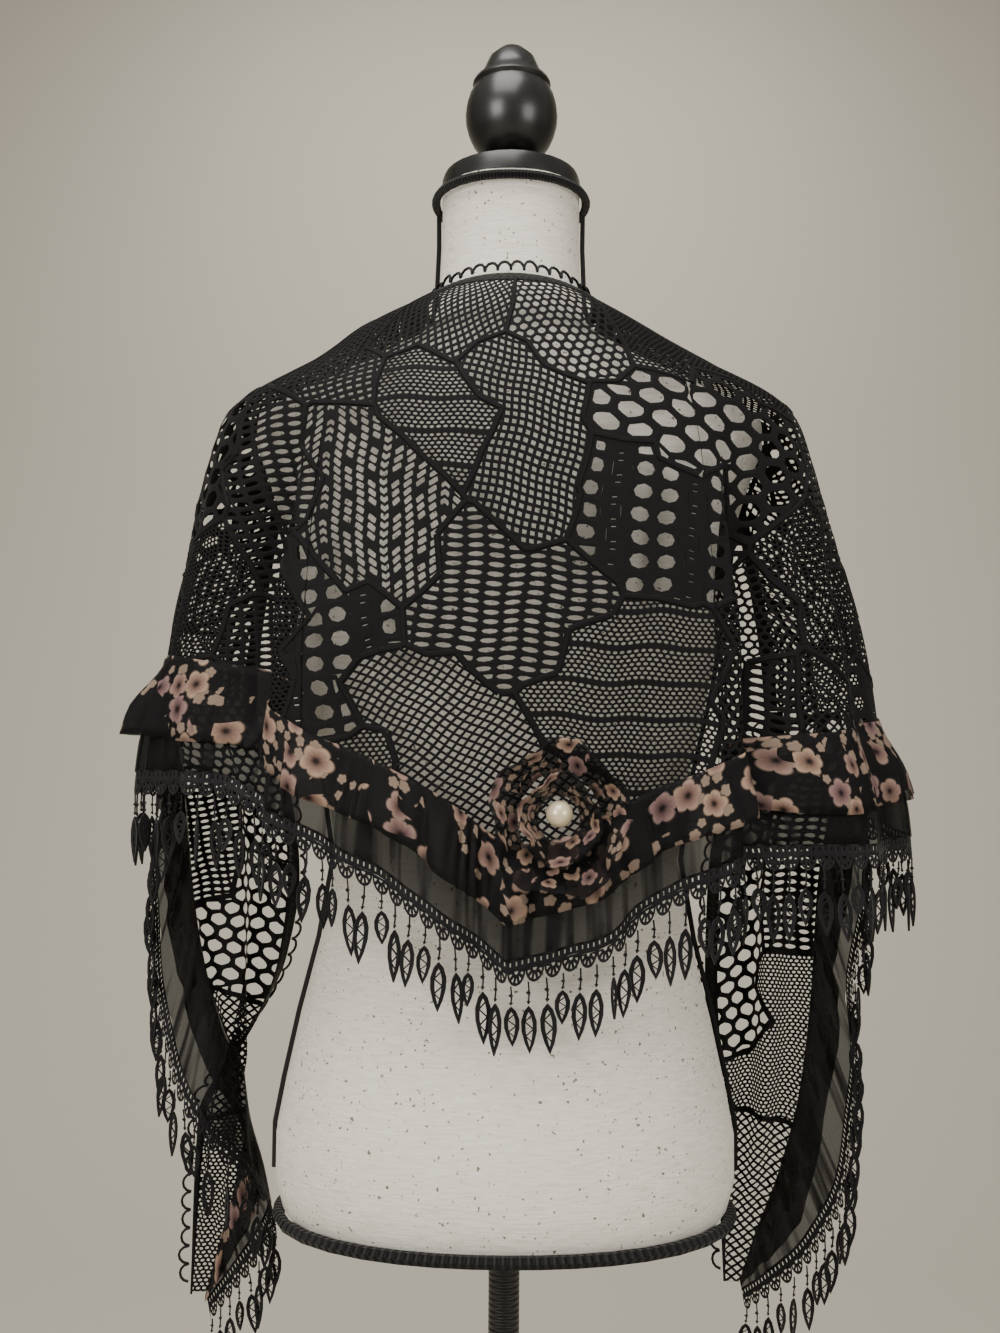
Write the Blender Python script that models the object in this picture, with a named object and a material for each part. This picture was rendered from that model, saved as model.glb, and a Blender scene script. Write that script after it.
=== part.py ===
"""A patchwork lace shawl, worn by a limbless dress form on a turned pole and round base.

The cloth is a set of thin walls on one draped surface, cut where the maker's pieces meet.
Metres, +Z up. The back of the shawl, its show side, faces -Y. The origin is the centre of the
underside of the base. Heights in the tables are above the bottom of the form's torso.
"""
import math
from collections import namedtuple

import bpy
import numpy as np

# ---------------------------------------------------------------- driving dimensions
TORSO_Z = 0.500            # the torso's bottom above the floor, the pole at its lowest setting
CLOTH = 0.0012             # wall of lace, chiffon and guipure
BRAID = 0.0020             # thickness of the gimp edging
GAP = 0.0003               # between pieces that are sewn together
SEAM = 0.0012              # the same, straight down, where a seam runs aslant
NECK_HEIGHT = 0.620        # the shawl's neckline at the sides of the neck
NECK_RISE = 0.013          # how much higher the neckline is at the centre back
BRAID_WIDE = 0.008         # width of the gimp edging
SIDE_ANGLE = 48.0          # where the back stretch of lace meets the arm stretches, in degrees
TAIL_ANGLE = 97.0          # where the flounce leaves the cape and follows the tail
FRONT_ANGLE = 115.0        # the shawl's front edge
TRIM_DEEP = 0.017          # guipure edging below the flounce
FRINGE_DEEP = 0.048        # reach of the leaf tassels
FLORAL_DEEP = 0.050        # the floral ruffle over the sheer flounce, at the sides
FLORAL_BACK = 0.036        # and at the centre back
LIFT = 0.0010              # least space between the floral ruffle and the sheer flounce
TAIL_LIFT = 0.0042         # the ruffle's distance from the sheer flounce on the tails
RUFFLE_STAND = 0.0055      # how far the ruffle's hem stands off, on average
FLARE_BACK = 0.08           # how much the flounce leans out for its fall, at the back
FLARE_SIDE = 0.20           # and how much more at the sides
LEAN_REACH = 0.060          # below this the flounce hangs straight down
PEARL_RADIUS = 0.008
POLE_RADIUS = 0.0105
SQUARE_CAPE = 2.3          # how squarely the cape's rings turn their corners: 2 is an ellipse
SQUARE_TORSO = 2.2

# ---------------------------------------------------------------- tables, in metres and degrees
Ring = namedtuple("Ring", "height left right back front")
CAPE = (                                    # rings of the draped lace, from the neck down
    Ring(0.620, 0.0610, 0.0615, 0.066, 0.052),
    Ring(0.610, 0.084, 0.080, 0.079, 0.064),
    Ring(0.598, 0.112, 0.104, 0.092, 0.076),
    Ring(0.576, 0.146, 0.147, 0.105, 0.092),
    Ring(0.556, 0.185, 0.189, 0.113, 0.104),
    Ring(0.545, 0.199, 0.201, 0.117, 0.110),
    Ring(0.515, 0.210, 0.212, 0.123, 0.118),
    Ring(0.450, 0.225, 0.230, 0.128, 0.128),
    Ring(0.375, 0.239, 0.249, 0.130, 0.132),
    Ring(0.300, 0.243, 0.257, 0.129, 0.132),
    Ring(0.150, 0.245, 0.260, 0.126, 0.130),
)

Fold = namedtuple("Fold", "top_angle hem_angle half_width depth start full")
FOLDS = (                                   # troughs that deepen from the shoulders down
    Fold(-56.0, -61.0, 8.0, 0.040, 0.548, 0.400),
    Fold(57.0, 60.0, 8.5, 0.044, 0.548, 0.390),
    Fold(-78.0, -83.0, 7.0, 0.011, 0.520, 0.400),
    Fold(80.0, 77.0, 6.5, 0.009, 0.525, 0.410),
    Fold(-98.0, -101.0, 7.5, 0.017, 0.540, 0.430),
    Fold(96.0, 100.0, 7.0, 0.015, 0.535, 0.420),
    Fold(-30.0, -38.0, 9.0, 0.004, 0.420, 0.330),
    Fold(26.0, 35.0, 9.0, 0.005, 0.400, 0.320),
)

Hem = namedtuple("Hem", "angle left right drop")
HEM = (                                     # the lace's seam, and how deep the flounce hangs there
    Hem(0.0, 0.250, 0.250, 0.066),
    Hem(20.0, 0.284, 0.260, 0.064),
    Hem(35.0, 0.304, 0.284, 0.060),
    Hem(45.0, 0.317, 0.297, 0.058),
    Hem(55.0, 0.338, 0.312, 0.062),
    Hem(65.0, 0.364, 0.321, 0.068),
    Hem(75.0, 0.371, 0.328, 0.074),
    Hem(90.0, 0.374, 0.338, 0.078),
    Hem(97.0, 0.366, 0.345, 0.076),
    Hem(115.0, 0.352, 0.348, 0.076),
)

Wave = namedtuple("Wave", "turns depth phase")
FLOUNCE_WAVES = (Wave(17.0, 0.0034, 0.4), Wave(29.0, 0.0020, 2.1), Wave(7.0, 0.0030, 4.0))
RUFFLE_WAVES = (Wave(23.0, 0.0036, 1.1), Wave(37.0, 0.0018, 0.2), Wave(11.0, 0.0026, 3.3))

Section = namedtuple("Section", "height edge_x edge_y seam_x seam_y fold lean_x lean_y deep")
TAIL_RIGHT = (                              # the flounce leans from the seam by lean for each metre it falls
    Section(-0.068, 0.1600, 0.0740, 0.1720, 0.0735, 0.0000, 0.20, 0.00, 0.006),
    Section(-0.040, 0.1590, 0.0750, 0.1810, 0.0715, 0.0010, 0.28, -0.02, 0.024),
    Section(0.010, 0.1570, 0.0770, 0.2000, 0.0690, 0.0040, 0.38, -0.06, 0.044),
    Section(0.070, 0.1540, 0.0790, 0.2150, 0.0650, 0.0080, 0.42, -0.08, 0.060),
    Section(0.140, 0.1490, 0.0820, 0.2230, 0.0600, 0.0110, 0.38, -0.06, 0.066),
    Section(0.220, 0.1520, 0.0850, 0.2280, 0.0550, 0.0140, 0.32, -0.02, 0.068),
    Section(0.300, 0.1680, 0.0880, 0.2400, 0.0440, 0.0140, 0.28, 0.02, 0.072),
    Section(0.360, 0.1900, 0.0900, 0.2480, 0.0300, 0.0060, 0.27, 0.03, 0.076),
)
TAIL_LEFT = (                               # the lower half is turned over: the edge lies outside
    Section(-0.082, -0.2290, 0.0800, -0.2170, 0.0800, 0.0000, 0.20, 0.00, 0.004),
    Section(-0.050, -0.2285, 0.0800, -0.2090, 0.0790, 0.0010, 0.34, -0.02, 0.018),
    Section(0.000, -0.2285, 0.0820, -0.1960, 0.0770, 0.0030, 0.46, -0.06, 0.034),
    Section(0.045, -0.2280, 0.0900, -0.1880, 0.0720, 0.0050, 0.34, -0.18, 0.050),
    Section(0.080, -0.2120, 0.1040, -0.1900, 0.0620, 0.0060, 0.12, -0.30, 0.058),
    Section(0.115, -0.1880, 0.1060, -0.2050, 0.0560, 0.0070, -0.12, -0.28, 0.062),
    Section(0.160, -0.1660, 0.0960, -0.2200, 0.0580, 0.0090, -0.26, -0.14, 0.064),
    Section(0.220, -0.1560, 0.0880, -0.2300, 0.0560, 0.0120, -0.28, -0.04, 0.068),
    Section(0.300, -0.1680, 0.0900, -0.2360, 0.0440, 0.0140, -0.27, 0.02, 0.072),
    Section(0.360, -0.1880, 0.0900, -0.2420, 0.0300, 0.0060, -0.27, 0.03, 0.076),
)
TAIL_WAVES = (Wave(3.0, 0.0018, 0.8), Wave(4.6, 0.0010, 2.4))
TAIL_PLEATS = 2.0          # folds across a tail
TAIL_LONG = 0.42           # the length over which a tail's waves are counted
TAIL_SWAY_X = 0.45         # how far its waves go sideways
TAIL_SWAY_Y = 0.90         # and to the back
TAIL_BLEND = 0.060         # over this height the cape's ring turns into the tail's section

Bust = namedtuple("Bust", "height half back front")
TORSO = (                                   # rings of the form's body and neck
    Bust(0.000, 0.141, 0.108, 0.098),
    Bust(0.010, 0.149, 0.115, 0.105),
    Bust(0.030, 0.1545, 0.120, 0.110),
    Bust(0.060, 0.1545, 0.121, 0.111),
    Bust(0.090, 0.149, 0.117, 0.108),
    Bust(0.135, 0.1395, 0.106, 0.101),
    Bust(0.185, 0.127, 0.092, 0.095),
    Bust(0.240, 0.118, 0.084, 0.092),
    Bust(0.300, 0.127, 0.092, 0.102),
    Bust(0.360, 0.141, 0.104, 0.122),
    Bust(0.410, 0.149, 0.111, 0.130),
    Bust(0.460, 0.156, 0.112, 0.119),
    Bust(0.500, 0.169, 0.108, 0.100),
    Bust(0.530, 0.180, 0.100, 0.083),
    Bust(0.545, 0.180, 0.094, 0.075),
    Bust(0.558, 0.160, 0.088, 0.069),
    Bust(0.573, 0.128, 0.081, 0.063),
    Bust(0.588, 0.096, 0.073, 0.057),
    Bust(0.602, 0.069, 0.064, 0.051),
    Bust(0.616, 0.0545, 0.056, 0.047),
    Bust(0.635, 0.0505, 0.051, 0.046),
    Bust(0.675, 0.0490, 0.049, 0.046),
    Bust(0.714, 0.0495, 0.049, 0.048),
)

Turn = namedtuple("Turn", "radius height")  # lathe profiles, from the bottom up, above the neck top
NECK_CAP = (Turn(0.0, 0.0), Turn(0.0500, 0.0), Turn(0.0500, 0.0085), Turn(0.0485, 0.0130),
            Turn(0.0440, 0.0150), Turn(0.0, 0.0150))
FINIAL_COLLAR = (Turn(0.0, 0.0153), Turn(0.0270, 0.0153), Turn(0.0280, 0.0180), Turn(0.0250, 0.0215),
                 Turn(0.0215, 0.0250), Turn(0.0, 0.0250))
BALL_CENTRE = 0.0600
BALL_RADIUS = 0.0335
FINIAL_DOME = (Turn(0.0, 0.0820), Turn(0.0272, 0.0820), Turn(0.0285, 0.0842), Turn(0.0272, 0.0870),
               Turn(0.0215, 0.0915), Turn(0.0200, 0.0960), Turn(0.0165, 0.1040), Turn(0.0095, 0.1105),
               Turn(0.0, 0.1130))
POLE_COLLAR = (Turn(0.0, 0.4785), Turn(0.0140, 0.4785), Turn(0.0145, 0.4800), Turn(0.0145, 0.4940),
               Turn(0.0135, 0.4960), Turn(0.0, 0.4960))
BASE_PLATE = (Turn(0.0, 0.0), Turn(0.1700, 0.0), Turn(0.1700, 0.0080), Turn(0.1660, 0.0140),
              Turn(0.0700, 0.0220), Turn(0.0300, 0.0260), Turn(0.0240, 0.0300), Turn(0.0220, 0.0420),
              Turn(0.0, 0.0420))

ROSETTE = (0.030, 0.270)   # place of the rosette on the back: across, and above the torso's bottom


# ---------------------------------------------------------------- reading the tables
def read(table, column, at):
    """A column of a table at its key, on a smooth curve that never overshoots a row."""
    rows = sorted(table)
    key = np.array([row[0] for row in rows])
    value = np.array([getattr(row, column) for row in rows])
    step = np.diff(key)
    slope = np.diff(value) / step
    tangent = np.concatenate(([slope[0]], np.zeros(len(rows) - 2), [slope[-1]]))
    for i in range(1, len(rows) - 1):
        if slope[i - 1] * slope[i] > 0:
            before = 2 * step[i] + step[i - 1]
            after = step[i] + 2 * step[i - 1]
            tangent[i] = (before + after) / (before / slope[i - 1] + after / slope[i])
    at = np.clip(np.asarray(at, dtype=float), key[0], key[-1])
    i = np.clip(np.searchsorted(key, at, side="right") - 1, 0, len(rows) - 2)
    t = (at - key[i]) / step[i]
    return (value[i] * (1 + 2 * t) * (1 - t) ** 2 + tangent[i] * step[i] * t * (1 - t) ** 2
            + value[i + 1] * t * t * (3 - 2 * t) + tangent[i + 1] * step[i] * t * t * (t - 1))


def ease(t):
    """From 0 to 1 with level ends."""
    t = np.clip(t, 0.0, 1.0)
    return t * t * (3 - 2 * t)


def settle(drop):
    """A sideways lean that dies out down the cloth, as it comes to hang straight."""
    return LEAN_REACH * np.tanh(drop / LEAN_REACH)


def waves(table, turn):
    """The sum of a table's waves at a place, as a part of a whole turn."""
    return sum(row.depth * np.sin(2 * math.pi * row.turns * turn + row.phase) for row in table)


def ring_radius(angle, across, back, front, square):
    """Radius of a rounded ring at an angle from the centre back."""
    deep = np.where(np.cos(angle) > 0, back, front)
    wide_part = (np.abs(np.sin(angle)) / across) ** square
    deep_part = (np.abs(np.cos(angle)) / deep) ** square
    return (wide_part + deep_part) ** (-1 / square)


# ---------------------------------------------------------------- the draped surfaces
def around(angle, radius, height):
    """Points at angles in degrees from the centre back, negative on the left."""
    turn = np.radians(angle)
    return np.stack((radius * np.sin(turn), -radius * np.cos(turn), TORSO_Z + height), axis=-1)


def hem_height(angle):
    """Height of the lace's seam at an angle."""
    left = read(HEM, "left", np.abs(angle))
    right = read(HEM, "right", np.abs(angle))
    return np.where(angle < 0, left, right)


def cape_radius(angle, height):
    """Radius of the draped lace, its folds included."""
    across = np.where(angle < 0, read(CAPE, "left", height), read(CAPE, "right", height))
    radius = ring_radius(np.radians(angle), across, read(CAPE, "back", height),
                         read(CAPE, "front", height), SQUARE_CAPE)
    for fold in FOLDS:
        down = ease((fold.start - height) / (fold.start - fold.full))
        centre = fold.top_angle + (fold.hem_angle - fold.top_angle) * down
        near = np.clip((angle - centre) / fold.half_width, -1, 1)
        radius = radius - fold.depth * down * np.cos(near * math.pi / 2) ** 2
    return radius


def cape(angle, height):
    """The lace over back, shoulders and arms; the neckline rises towards the centre back."""
    rise = NECK_RISE * np.clip(np.cos(np.radians(angle)), 0, 1) ** 1.5 * ease((height - 0.555) / 0.065)
    return around(angle, cape_radius(angle, height), height + rise)


def flounce_radius(angle, drop):
    """Radius of the sheer flounce, at a distance below the lace's seam."""
    part = drop / 0.08
    at_seam = cape_radius(angle, hem_height(angle))
    smooth = 0.5 * (cape_radius(angle - 7, hem_height(angle)) + cape_radius(angle + 7, hem_height(angle)))
    flare = FLARE_BACK + FLARE_SIDE * ease((np.abs(angle) - 45) / 35)
    filled = at_seam + np.maximum(smooth - at_seam, 0) * 0.55 * ease(part)
    return filled + flare * settle(drop) + waves(FLOUNCE_WAVES, angle / 360) * ease(part * 1.4)


def flounce(angle, drop):
    """The sheer flounce below the lace, out to the tails."""
    return around(angle, flounce_radius(angle, drop), hem_height(angle) - drop)


def ruffle(angle, drop):
    """The floral ruffle over the sheer flounce, clear of it all over."""
    radius = flounce_radius(angle, drop)
    change = flounce_radius(angle + 0.5, drop) - flounce_radius(angle - 0.5, drop)
    aslant = np.sqrt(1 + (change / math.radians(1.0) / radius) ** 2)
    stand = np.maximum(RUFFLE_STAND + waves(RUFFLE_WAVES, angle / 360), 0.0) * ease(drop / 0.035)
    return around(angle, radius + (CLOTH + LIFT) * aslant + stand, hem_height(angle) - drop)


def tail_table(side):
    """A tail's sections, from its tip up."""
    return sorted(TAIL_RIGHT if side > 0 else TAIL_LEFT)


def tail(side, across, height):
    """The front end that hangs free: across is 0 at the long edge and 1 at the flounce's seam."""
    table = tail_table(side)
    edge = np.stack((read(table, "edge_x", height), read(table, "edge_y", height)), axis=-1)
    seam = np.stack((read(table, "seam_x", height), read(table, "seam_y", height)), axis=-1)
    along = seam - edge
    long = np.linalg.norm(along, axis=-1, keepdims=True)
    normal = np.stack((along[..., 1], -along[..., 0]), axis=-1) / long
    pleat = read(table, "fold", height) * np.sin(2 * math.pi * TAIL_PLEATS * across) * side
    pleat = 1.2 * pleat * np.sin(math.pi * np.clip(across, 0, 1))
    flat = edge + along * across[..., None] + normal * pleat[..., None]
    hung = np.concatenate((flat, (TORSO_Z + height)[..., None]), axis=-1)
    angle = side * (FRONT_ANGLE + (TAIL_ANGLE - FRONT_ANGLE) * across)
    start = hem_height(angle)
    change = ease((start - height) / TAIL_BLEND)[..., None]
    return cape(angle, height) * (1 - change) + hung * change


def tail_flounce(side, height, drop):
    """The flounce along a tail's seam, leaning away from the tail as it falls."""
    table = tail_table(side)
    seam = tail(side, np.ones_like(height), height)
    change = ease((hem_height(np.array(side * TAIL_ANGLE)) - height) / 0.08)
    run = settle(drop) * (1 - change) + drop * change
    lean_x = read(table, "lean_x", height) * run
    lean_y = read(table, "lean_y", height) * run
    ripple = waves(TAIL_WAVES, height / TAIL_LONG) * ease(drop / 0.05) * change
    return seam + np.stack((lean_x + TAIL_SWAY_X * ripple, lean_y - TAIL_SWAY_Y * ripple, -drop), axis=-1)


# ---------------------------------------------------------------- building
def finish(obj, material, colour, roughness):
    """Give an object its own material and smooth shading."""
    look = bpy.data.materials.new(material)
    look.use_nodes = True
    shader = look.node_tree.nodes["Principled BSDF"]
    shader.inputs["Base Color"].default_value = (*colour, 1.0)
    shader.inputs["Roughness"].default_value = roughness
    obj.data.materials.append(look)
    return obj


def mesh_object(name, points, faces):
    """A new mesh object from points and faces."""
    mesh = bpy.data.meshes.new(name)
    mesh.from_pydata([tuple(point) for point in points], [], faces)
    mesh.update()
    obj = bpy.data.objects.new(name, mesh)
    bpy.context.collection.objects.link(obj)
    return obj


def outward_faces(points, faces):
    """The faces, turned over if they enclose a negative volume."""
    volume = 0.0
    for face in faces:
        for i in range(1, len(face) - 1):
            a, b, c = points[face[0]], points[face[i]], points[face[i + 1]]
            volume += float(np.dot(a, np.cross(b, c)))
    return faces if volume > 0 else [tuple(reversed(face)) for face in faces]


def normals(surface, one, two):
    """Unit normals of a surface given as a function of two grids, by small differences."""
    small = 1e-4
    first = surface(one + small, two) - surface(one - small, two)
    second = surface(one, two + small) - surface(one, two - small)
    cross = np.cross(first, second)
    return cross / np.linalg.norm(cross, axis=-1, keepdims=True)


def halves(points, quad):
    """The two triangles of a bent quad, split along its shorter diagonal."""
    a, b, c, d = quad
    if np.linalg.norm(points[a] - points[c]) <= np.linalg.norm(points[b] - points[d]):
        return (a, b, c), (a, c, d)
    return (a, b, d), (b, c, d)


def wall(name, surface, one, two, thick, lift=None):
    """A closed wall of cloth on a surface sampled at the grids one and two, lifted along its normal."""
    middle = surface(one, two)
    normal = normals(surface, one, two)
    lift = np.zeros(one.shape) if lift is None else lift
    top = middle + normal * (lift + thick / 2)[..., None]
    bottom = middle + normal * (lift - thick / 2)[..., None]
    rows, cols = one.shape
    count = rows * cols
    points = np.concatenate((top.reshape(-1, 3), bottom.reshape(-1, 3)))
    faces = []
    for r in range(rows - 1):
        for c in range(cols - 1):
            quad = [r * cols + c, r * cols + c + 1, (r + 1) * cols + c + 1, (r + 1) * cols + c]
            for one_face in halves(points, quad):
                faces.append(one_face)
                faces.append(tuple(count + corner for corner in reversed(one_face)))
    rim = [c for c in range(cols)]
    rim += [r * cols + cols - 1 for r in range(1, rows)]
    rim += [(rows - 1) * cols + c for c in range(cols - 2, -1, -1)]
    rim += [r * cols for r in range(rows - 2, 0, -1)]
    for here, there in zip(rim, rim[1:] + rim[:1]):
        faces.append((there, here, count + here, count + there))
    return mesh_object(name, points, outward_faces(points, faces))


def lathe(name, profile, base, sides=24):
    """A turned solid about the Z axis; its profile starts and ends on the axis."""
    inner = [turn for turn in profile if turn.radius > 0]
    points = [(0.0, 0.0, base + profile[0].height)]
    for turn in inner:
        for k in range(sides):
            a = 2 * math.pi * k / sides
            points.append((turn.radius * math.cos(a), turn.radius * math.sin(a), base + turn.height))
    points.append((0.0, 0.0, base + profile[-1].height))
    faces = []
    for k in range(sides):
        n = (k + 1) % sides
        faces.append((0, 1 + n, 1 + k))
        for r in range(len(inner) - 1):
            low, high = 1 + r * sides, 1 + (r + 1) * sides
            faces.append((low + k, low + n, high + n, high + k))
        top = 1 + (len(inner) - 1) * sides
        faces.append((top + k, top + n, len(points) - 1))
    return mesh_object(name, np.array(points), outward_faces(np.array(points), faces))


def torso_point(angle, height, out=0.0):
    """A point on the dress form, at an angle in degrees from the centre back."""
    radius = ring_radius(np.radians(angle), read(TORSO, "half", height), read(TORSO, "back", height),
                         read(TORSO, "front", height), SQUARE_TORSO)
    return around(angle, radius + out, height)


def tube(name, path, radius, closed=False, sides=6):
    """A round cord along a path of points."""
    curve = bpy.data.curves.new(name, "CURVE")
    curve.dimensions = "3D"
    curve.bevel_depth = radius
    curve.bevel_resolution = sides // 2 - 2
    curve.use_fill_caps = True
    spline = curve.splines.new("POLY")
    spline.points.add(len(path) - 1)
    for point, place in zip(spline.points, path):
        point.co = (*place, 1.0)
    spline.use_cyclic_u = closed
    obj = bpy.data.objects.new(name, curve)
    bpy.context.collection.objects.link(obj)
    return obj


# ---------------------------------------------------------------- columns and rows of the panels
def angles(first, last):
    """Angles across a panel: close together in the deep folds, wider apart elsewhere."""
    stops = []
    for start, stop, steps in ((0, 48, 9), (48, 52, 1), (52, 69, 9), (69, 97, 6), (97, 115, 4)):
        stops += list(np.linspace(start, stop, steps, endpoint=False))
    stops.append(115.0)
    both = sorted({-a for a in stops} | set(stops))
    inside = [a for a in both if first + 0.5 < a < last - 0.5]
    return np.array([first] + inside + [last])


def seam_angle(metres, radius=0.2):
    """The angle that a small distance takes at about an arm's radius."""
    return math.degrees(metres / radius)


EDGE_SHARE = seam_angle(BRAID_WIDE) / (FRONT_ANGLE - TAIL_ANGLE)   # the edging's part of a tail's width
SHOULDER_LEVELS = (0.598, 0.576, 0.557, 0.544, 0.520, 0.480)
LACE_TOP = NECK_HEIGHT - BRAID_WIDE
TAIL_GAP = 0.0016          # seams of the tail's flounce run aslant, so their gap is wider
CORNER_GAP = 0.010         # the flounce turns down the tail this far below the cape's corner
LOWER_STEPS = 4
TAIL_STEPS = 13


def panel_heights(across):
    """Rows of a panel of the cape, from the neck braid to the flounce's seam, at the given angles."""
    low = hem_height(across)
    rows = [np.full_like(across, LACE_TOP)]
    rows += [np.full_like(across, level) for level in SHOULDER_LEVELS]
    for k in range(1, LOWER_STEPS + 1):
        rows.append(SHOULDER_LEVELS[-1] + (low - SHOULDER_LEVELS[-1]) * k / LOWER_STEPS)
    return np.array(rows)


def lace_panel(name, first, last):
    """A stretch of the lace between two angles, from the neck braid to the flounce's seam."""
    across = angles(first, last)
    heights = panel_heights(across)
    return wall(name, cape, np.tile(across, (len(heights), 1)), heights, CLOTH)


def tail_grid(side, across, steps):
    """Rows down a tail from its joint with the cape to its tip, for the given parts of its width."""
    across = np.tile(across, (steps + 1, 1))
    top = hem_height(side * (FRONT_ANGLE + (TAIL_ANGLE - FRONT_ANGLE) * across)) - GAP
    part = np.linspace(0.0, 1.0, steps + 1)[:, None]
    return across, top + (tail_table(side)[0].height - top) * part


def tail_panel(name, side):
    """The lace of a front end that hangs free."""
    across, heights = tail_grid(side, np.linspace(EDGE_SHARE, 1.0, 11), TAIL_STEPS)
    return wall(name, lambda a, h: tail(side, a, h), across, heights, CLOTH)


def tail_braid(name, side):
    """The gimp edging down the long edge of a tail."""
    across, heights = tail_grid(side, np.array((0.0, EDGE_SHARE)), TAIL_STEPS)
    long = np.linalg.norm(tail(side, 0 * across + 1.0, heights) - tail(side, 0 * across, heights), axis=-1)
    across = across * (1 - 1.6 * GAP / (EDGE_SHARE * long))
    return wall(name, lambda a, h: tail(side, a, h), across, heights, BRAID)


def ribbon(name, surface, first, last, top, bottom, rows):
    """A strip of the flounce between two angles, from one drop to another."""
    across = np.tile(angles(first, last), (rows, 1))
    depth = read(HEM, "drop", np.abs(across))
    part = np.linspace(0.0, 1.0, rows)[:, None]
    start = top(depth)
    return wall(name, surface, across, start + (bottom(depth) - start) * part, CLOTH)


def tail_ribbon(name, side, top, bottom, rows, lift=0.0):
    """A strip of the flounce along a tail, lifted towards its show side, a seam's gap below the last."""
    heights = tail_grid(side, np.array((1.0,)), TAIL_STEPS)[1][:, 0]
    heights[0] -= CORNER_GAP
    if lift > 0:
        heights = heights[1:-1]
    heights = np.tile(heights, (rows, 1))
    depth = read(tail_table(side), "deep", heights)
    part = np.linspace(0.0, 1.0, rows)[:, None]
    start = top(depth) + TAIL_GAP
    drops = start + (bottom(depth) - start) * part

    def face(height, drop):
        return tail_flounce(side, height, drop)
    return wall(name, face, heights, drops, CLOTH, np.full(heights.shape, side * lift))


# ---------------------------------------------------------------- the shawl's pieces
BLACK = (0.006, 0.006, 0.007)
FLORAL = (0.05, 0.035, 0.035)


def build_lace():
    half_gap = seam_angle(GAP / 2)
    front = FRONT_ANGLE - seam_angle(BRAID_WIDE)
    finish(lace_panel("lace_back", -SIDE_ANGLE + half_gap, SIDE_ANGLE - half_gap), "knit lace back", BLACK, 0.8)
    finish(lace_panel("lace_arm_left", -front, -SIDE_ANGLE - half_gap), "knit lace left arm", BLACK, 0.8)
    finish(lace_panel("lace_arm_right", SIDE_ANGLE + half_gap, front), "knit lace right arm", BLACK, 0.8)
    finish(tail_panel("lace_tail_left", -1), "knit lace left tail", BLACK, 0.8)
    finish(tail_panel("lace_tail_right", 1), "knit lace right tail", BLACK, 0.8)


def build_edging():
    """Gimp braid round the neck, down the two front edges of the cape, and down the tails."""
    across = np.linspace(-FRONT_ANGLE, FRONT_ANGLE, 37)
    grid = np.meshgrid(across, np.array((NECK_HEIGHT, LACE_TOP + GAP)))
    finish(wall("edge_braid_neck", cape, grid[0], grid[1], BRAID), "gimp braid neck", BLACK, 0.6)
    for side, name in ((-1, "left"), (1, "right")):
        inner = FRONT_ANGLE - seam_angle(BRAID_WIDE - GAP)
        across = np.array((side * inner, side * FRONT_ANGLE))
        heights = panel_heights(across)
        columns = np.tile(across, (len(heights), 1))
        finish(wall("edge_braid_front_" + name, cape, columns, heights, BRAID), "gimp front " + name, BLACK, 0.6)
        finish(tail_braid("edge_braid_tail_" + name, side), "gimp tail " + name, BLACK, 0.6)


def floral_drop(drop):
    """How deep the floral ruffle hangs where the flounce has a depth: shortest at the centre back."""
    deep = FLORAL_BACK + (FLORAL_DEEP - FLORAL_BACK) * ease((drop - 0.061) / 0.009)
    return np.minimum(deep, 0.80 * drop)


FLORAL_SHORT = 2.0         # the back's floral ruffle stops this many degrees short of the sheer one


def build_flounces():
    """Sheer flounce, floral ruffle over it, guipure edging below it and the leaf fringe."""
    end = TAIL_ANGLE - 0.2
    sheer = (lambda d: 0 * d + SEAM, lambda d: d)
    floral = (lambda d: 0 * d + SEAM, floral_drop)
    trim = (lambda d: d + SEAM, lambda d: d + TRIM_DEEP)
    fringe = (lambda d: d + TRIM_DEEP + SEAM, lambda d: d + TRIM_DEEP + FRINGE_DEEP)
    tail_trim = (lambda d: d + TAIL_GAP, lambda d: d + TRIM_DEEP)
    tail_fringe = (lambda d: d + TRIM_DEEP + TAIL_GAP, lambda d: d + TRIM_DEEP + FRINGE_DEEP)
    finish(ribbon("sheer_flounce_back", flounce, -end, end, *sheer, 4), "black chiffon", BLACK, 0.5)
    inner = end - FLORAL_SHORT
    finish(ribbon("floral_ruffle_back", ruffle, -inner, inner, *floral, 4), "floral chiffon", FLORAL, 0.6)
    finish(ribbon("guipure_trim_back", flounce, -end, end, *trim, 2), "guipure", BLACK, 0.7)
    finish(ribbon("leaf_fringe_back", flounce, -end, end, *fringe, 2), "leaf tassels", BLACK, 0.7)
    for side, name in ((-1, "left"), (1, "right")):
        finish(tail_ribbon("sheer_flounce_" + name, side, *sheer, 3), "chiffon " + name, BLACK, 0.5)
        finish(tail_ribbon("floral_ruffle_" + name, side, *floral, 3, TAIL_LIFT), "floral " + name, FLORAL, 0.6)
        finish(tail_ribbon("guipure_trim_" + name, side, *tail_trim, 2), "guipure " + name, BLACK, 0.7)
        finish(tail_ribbon("leaf_fringe_" + name, side, *tail_fringe, 2), "tassels " + name, BLACK, 0.7)


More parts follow.
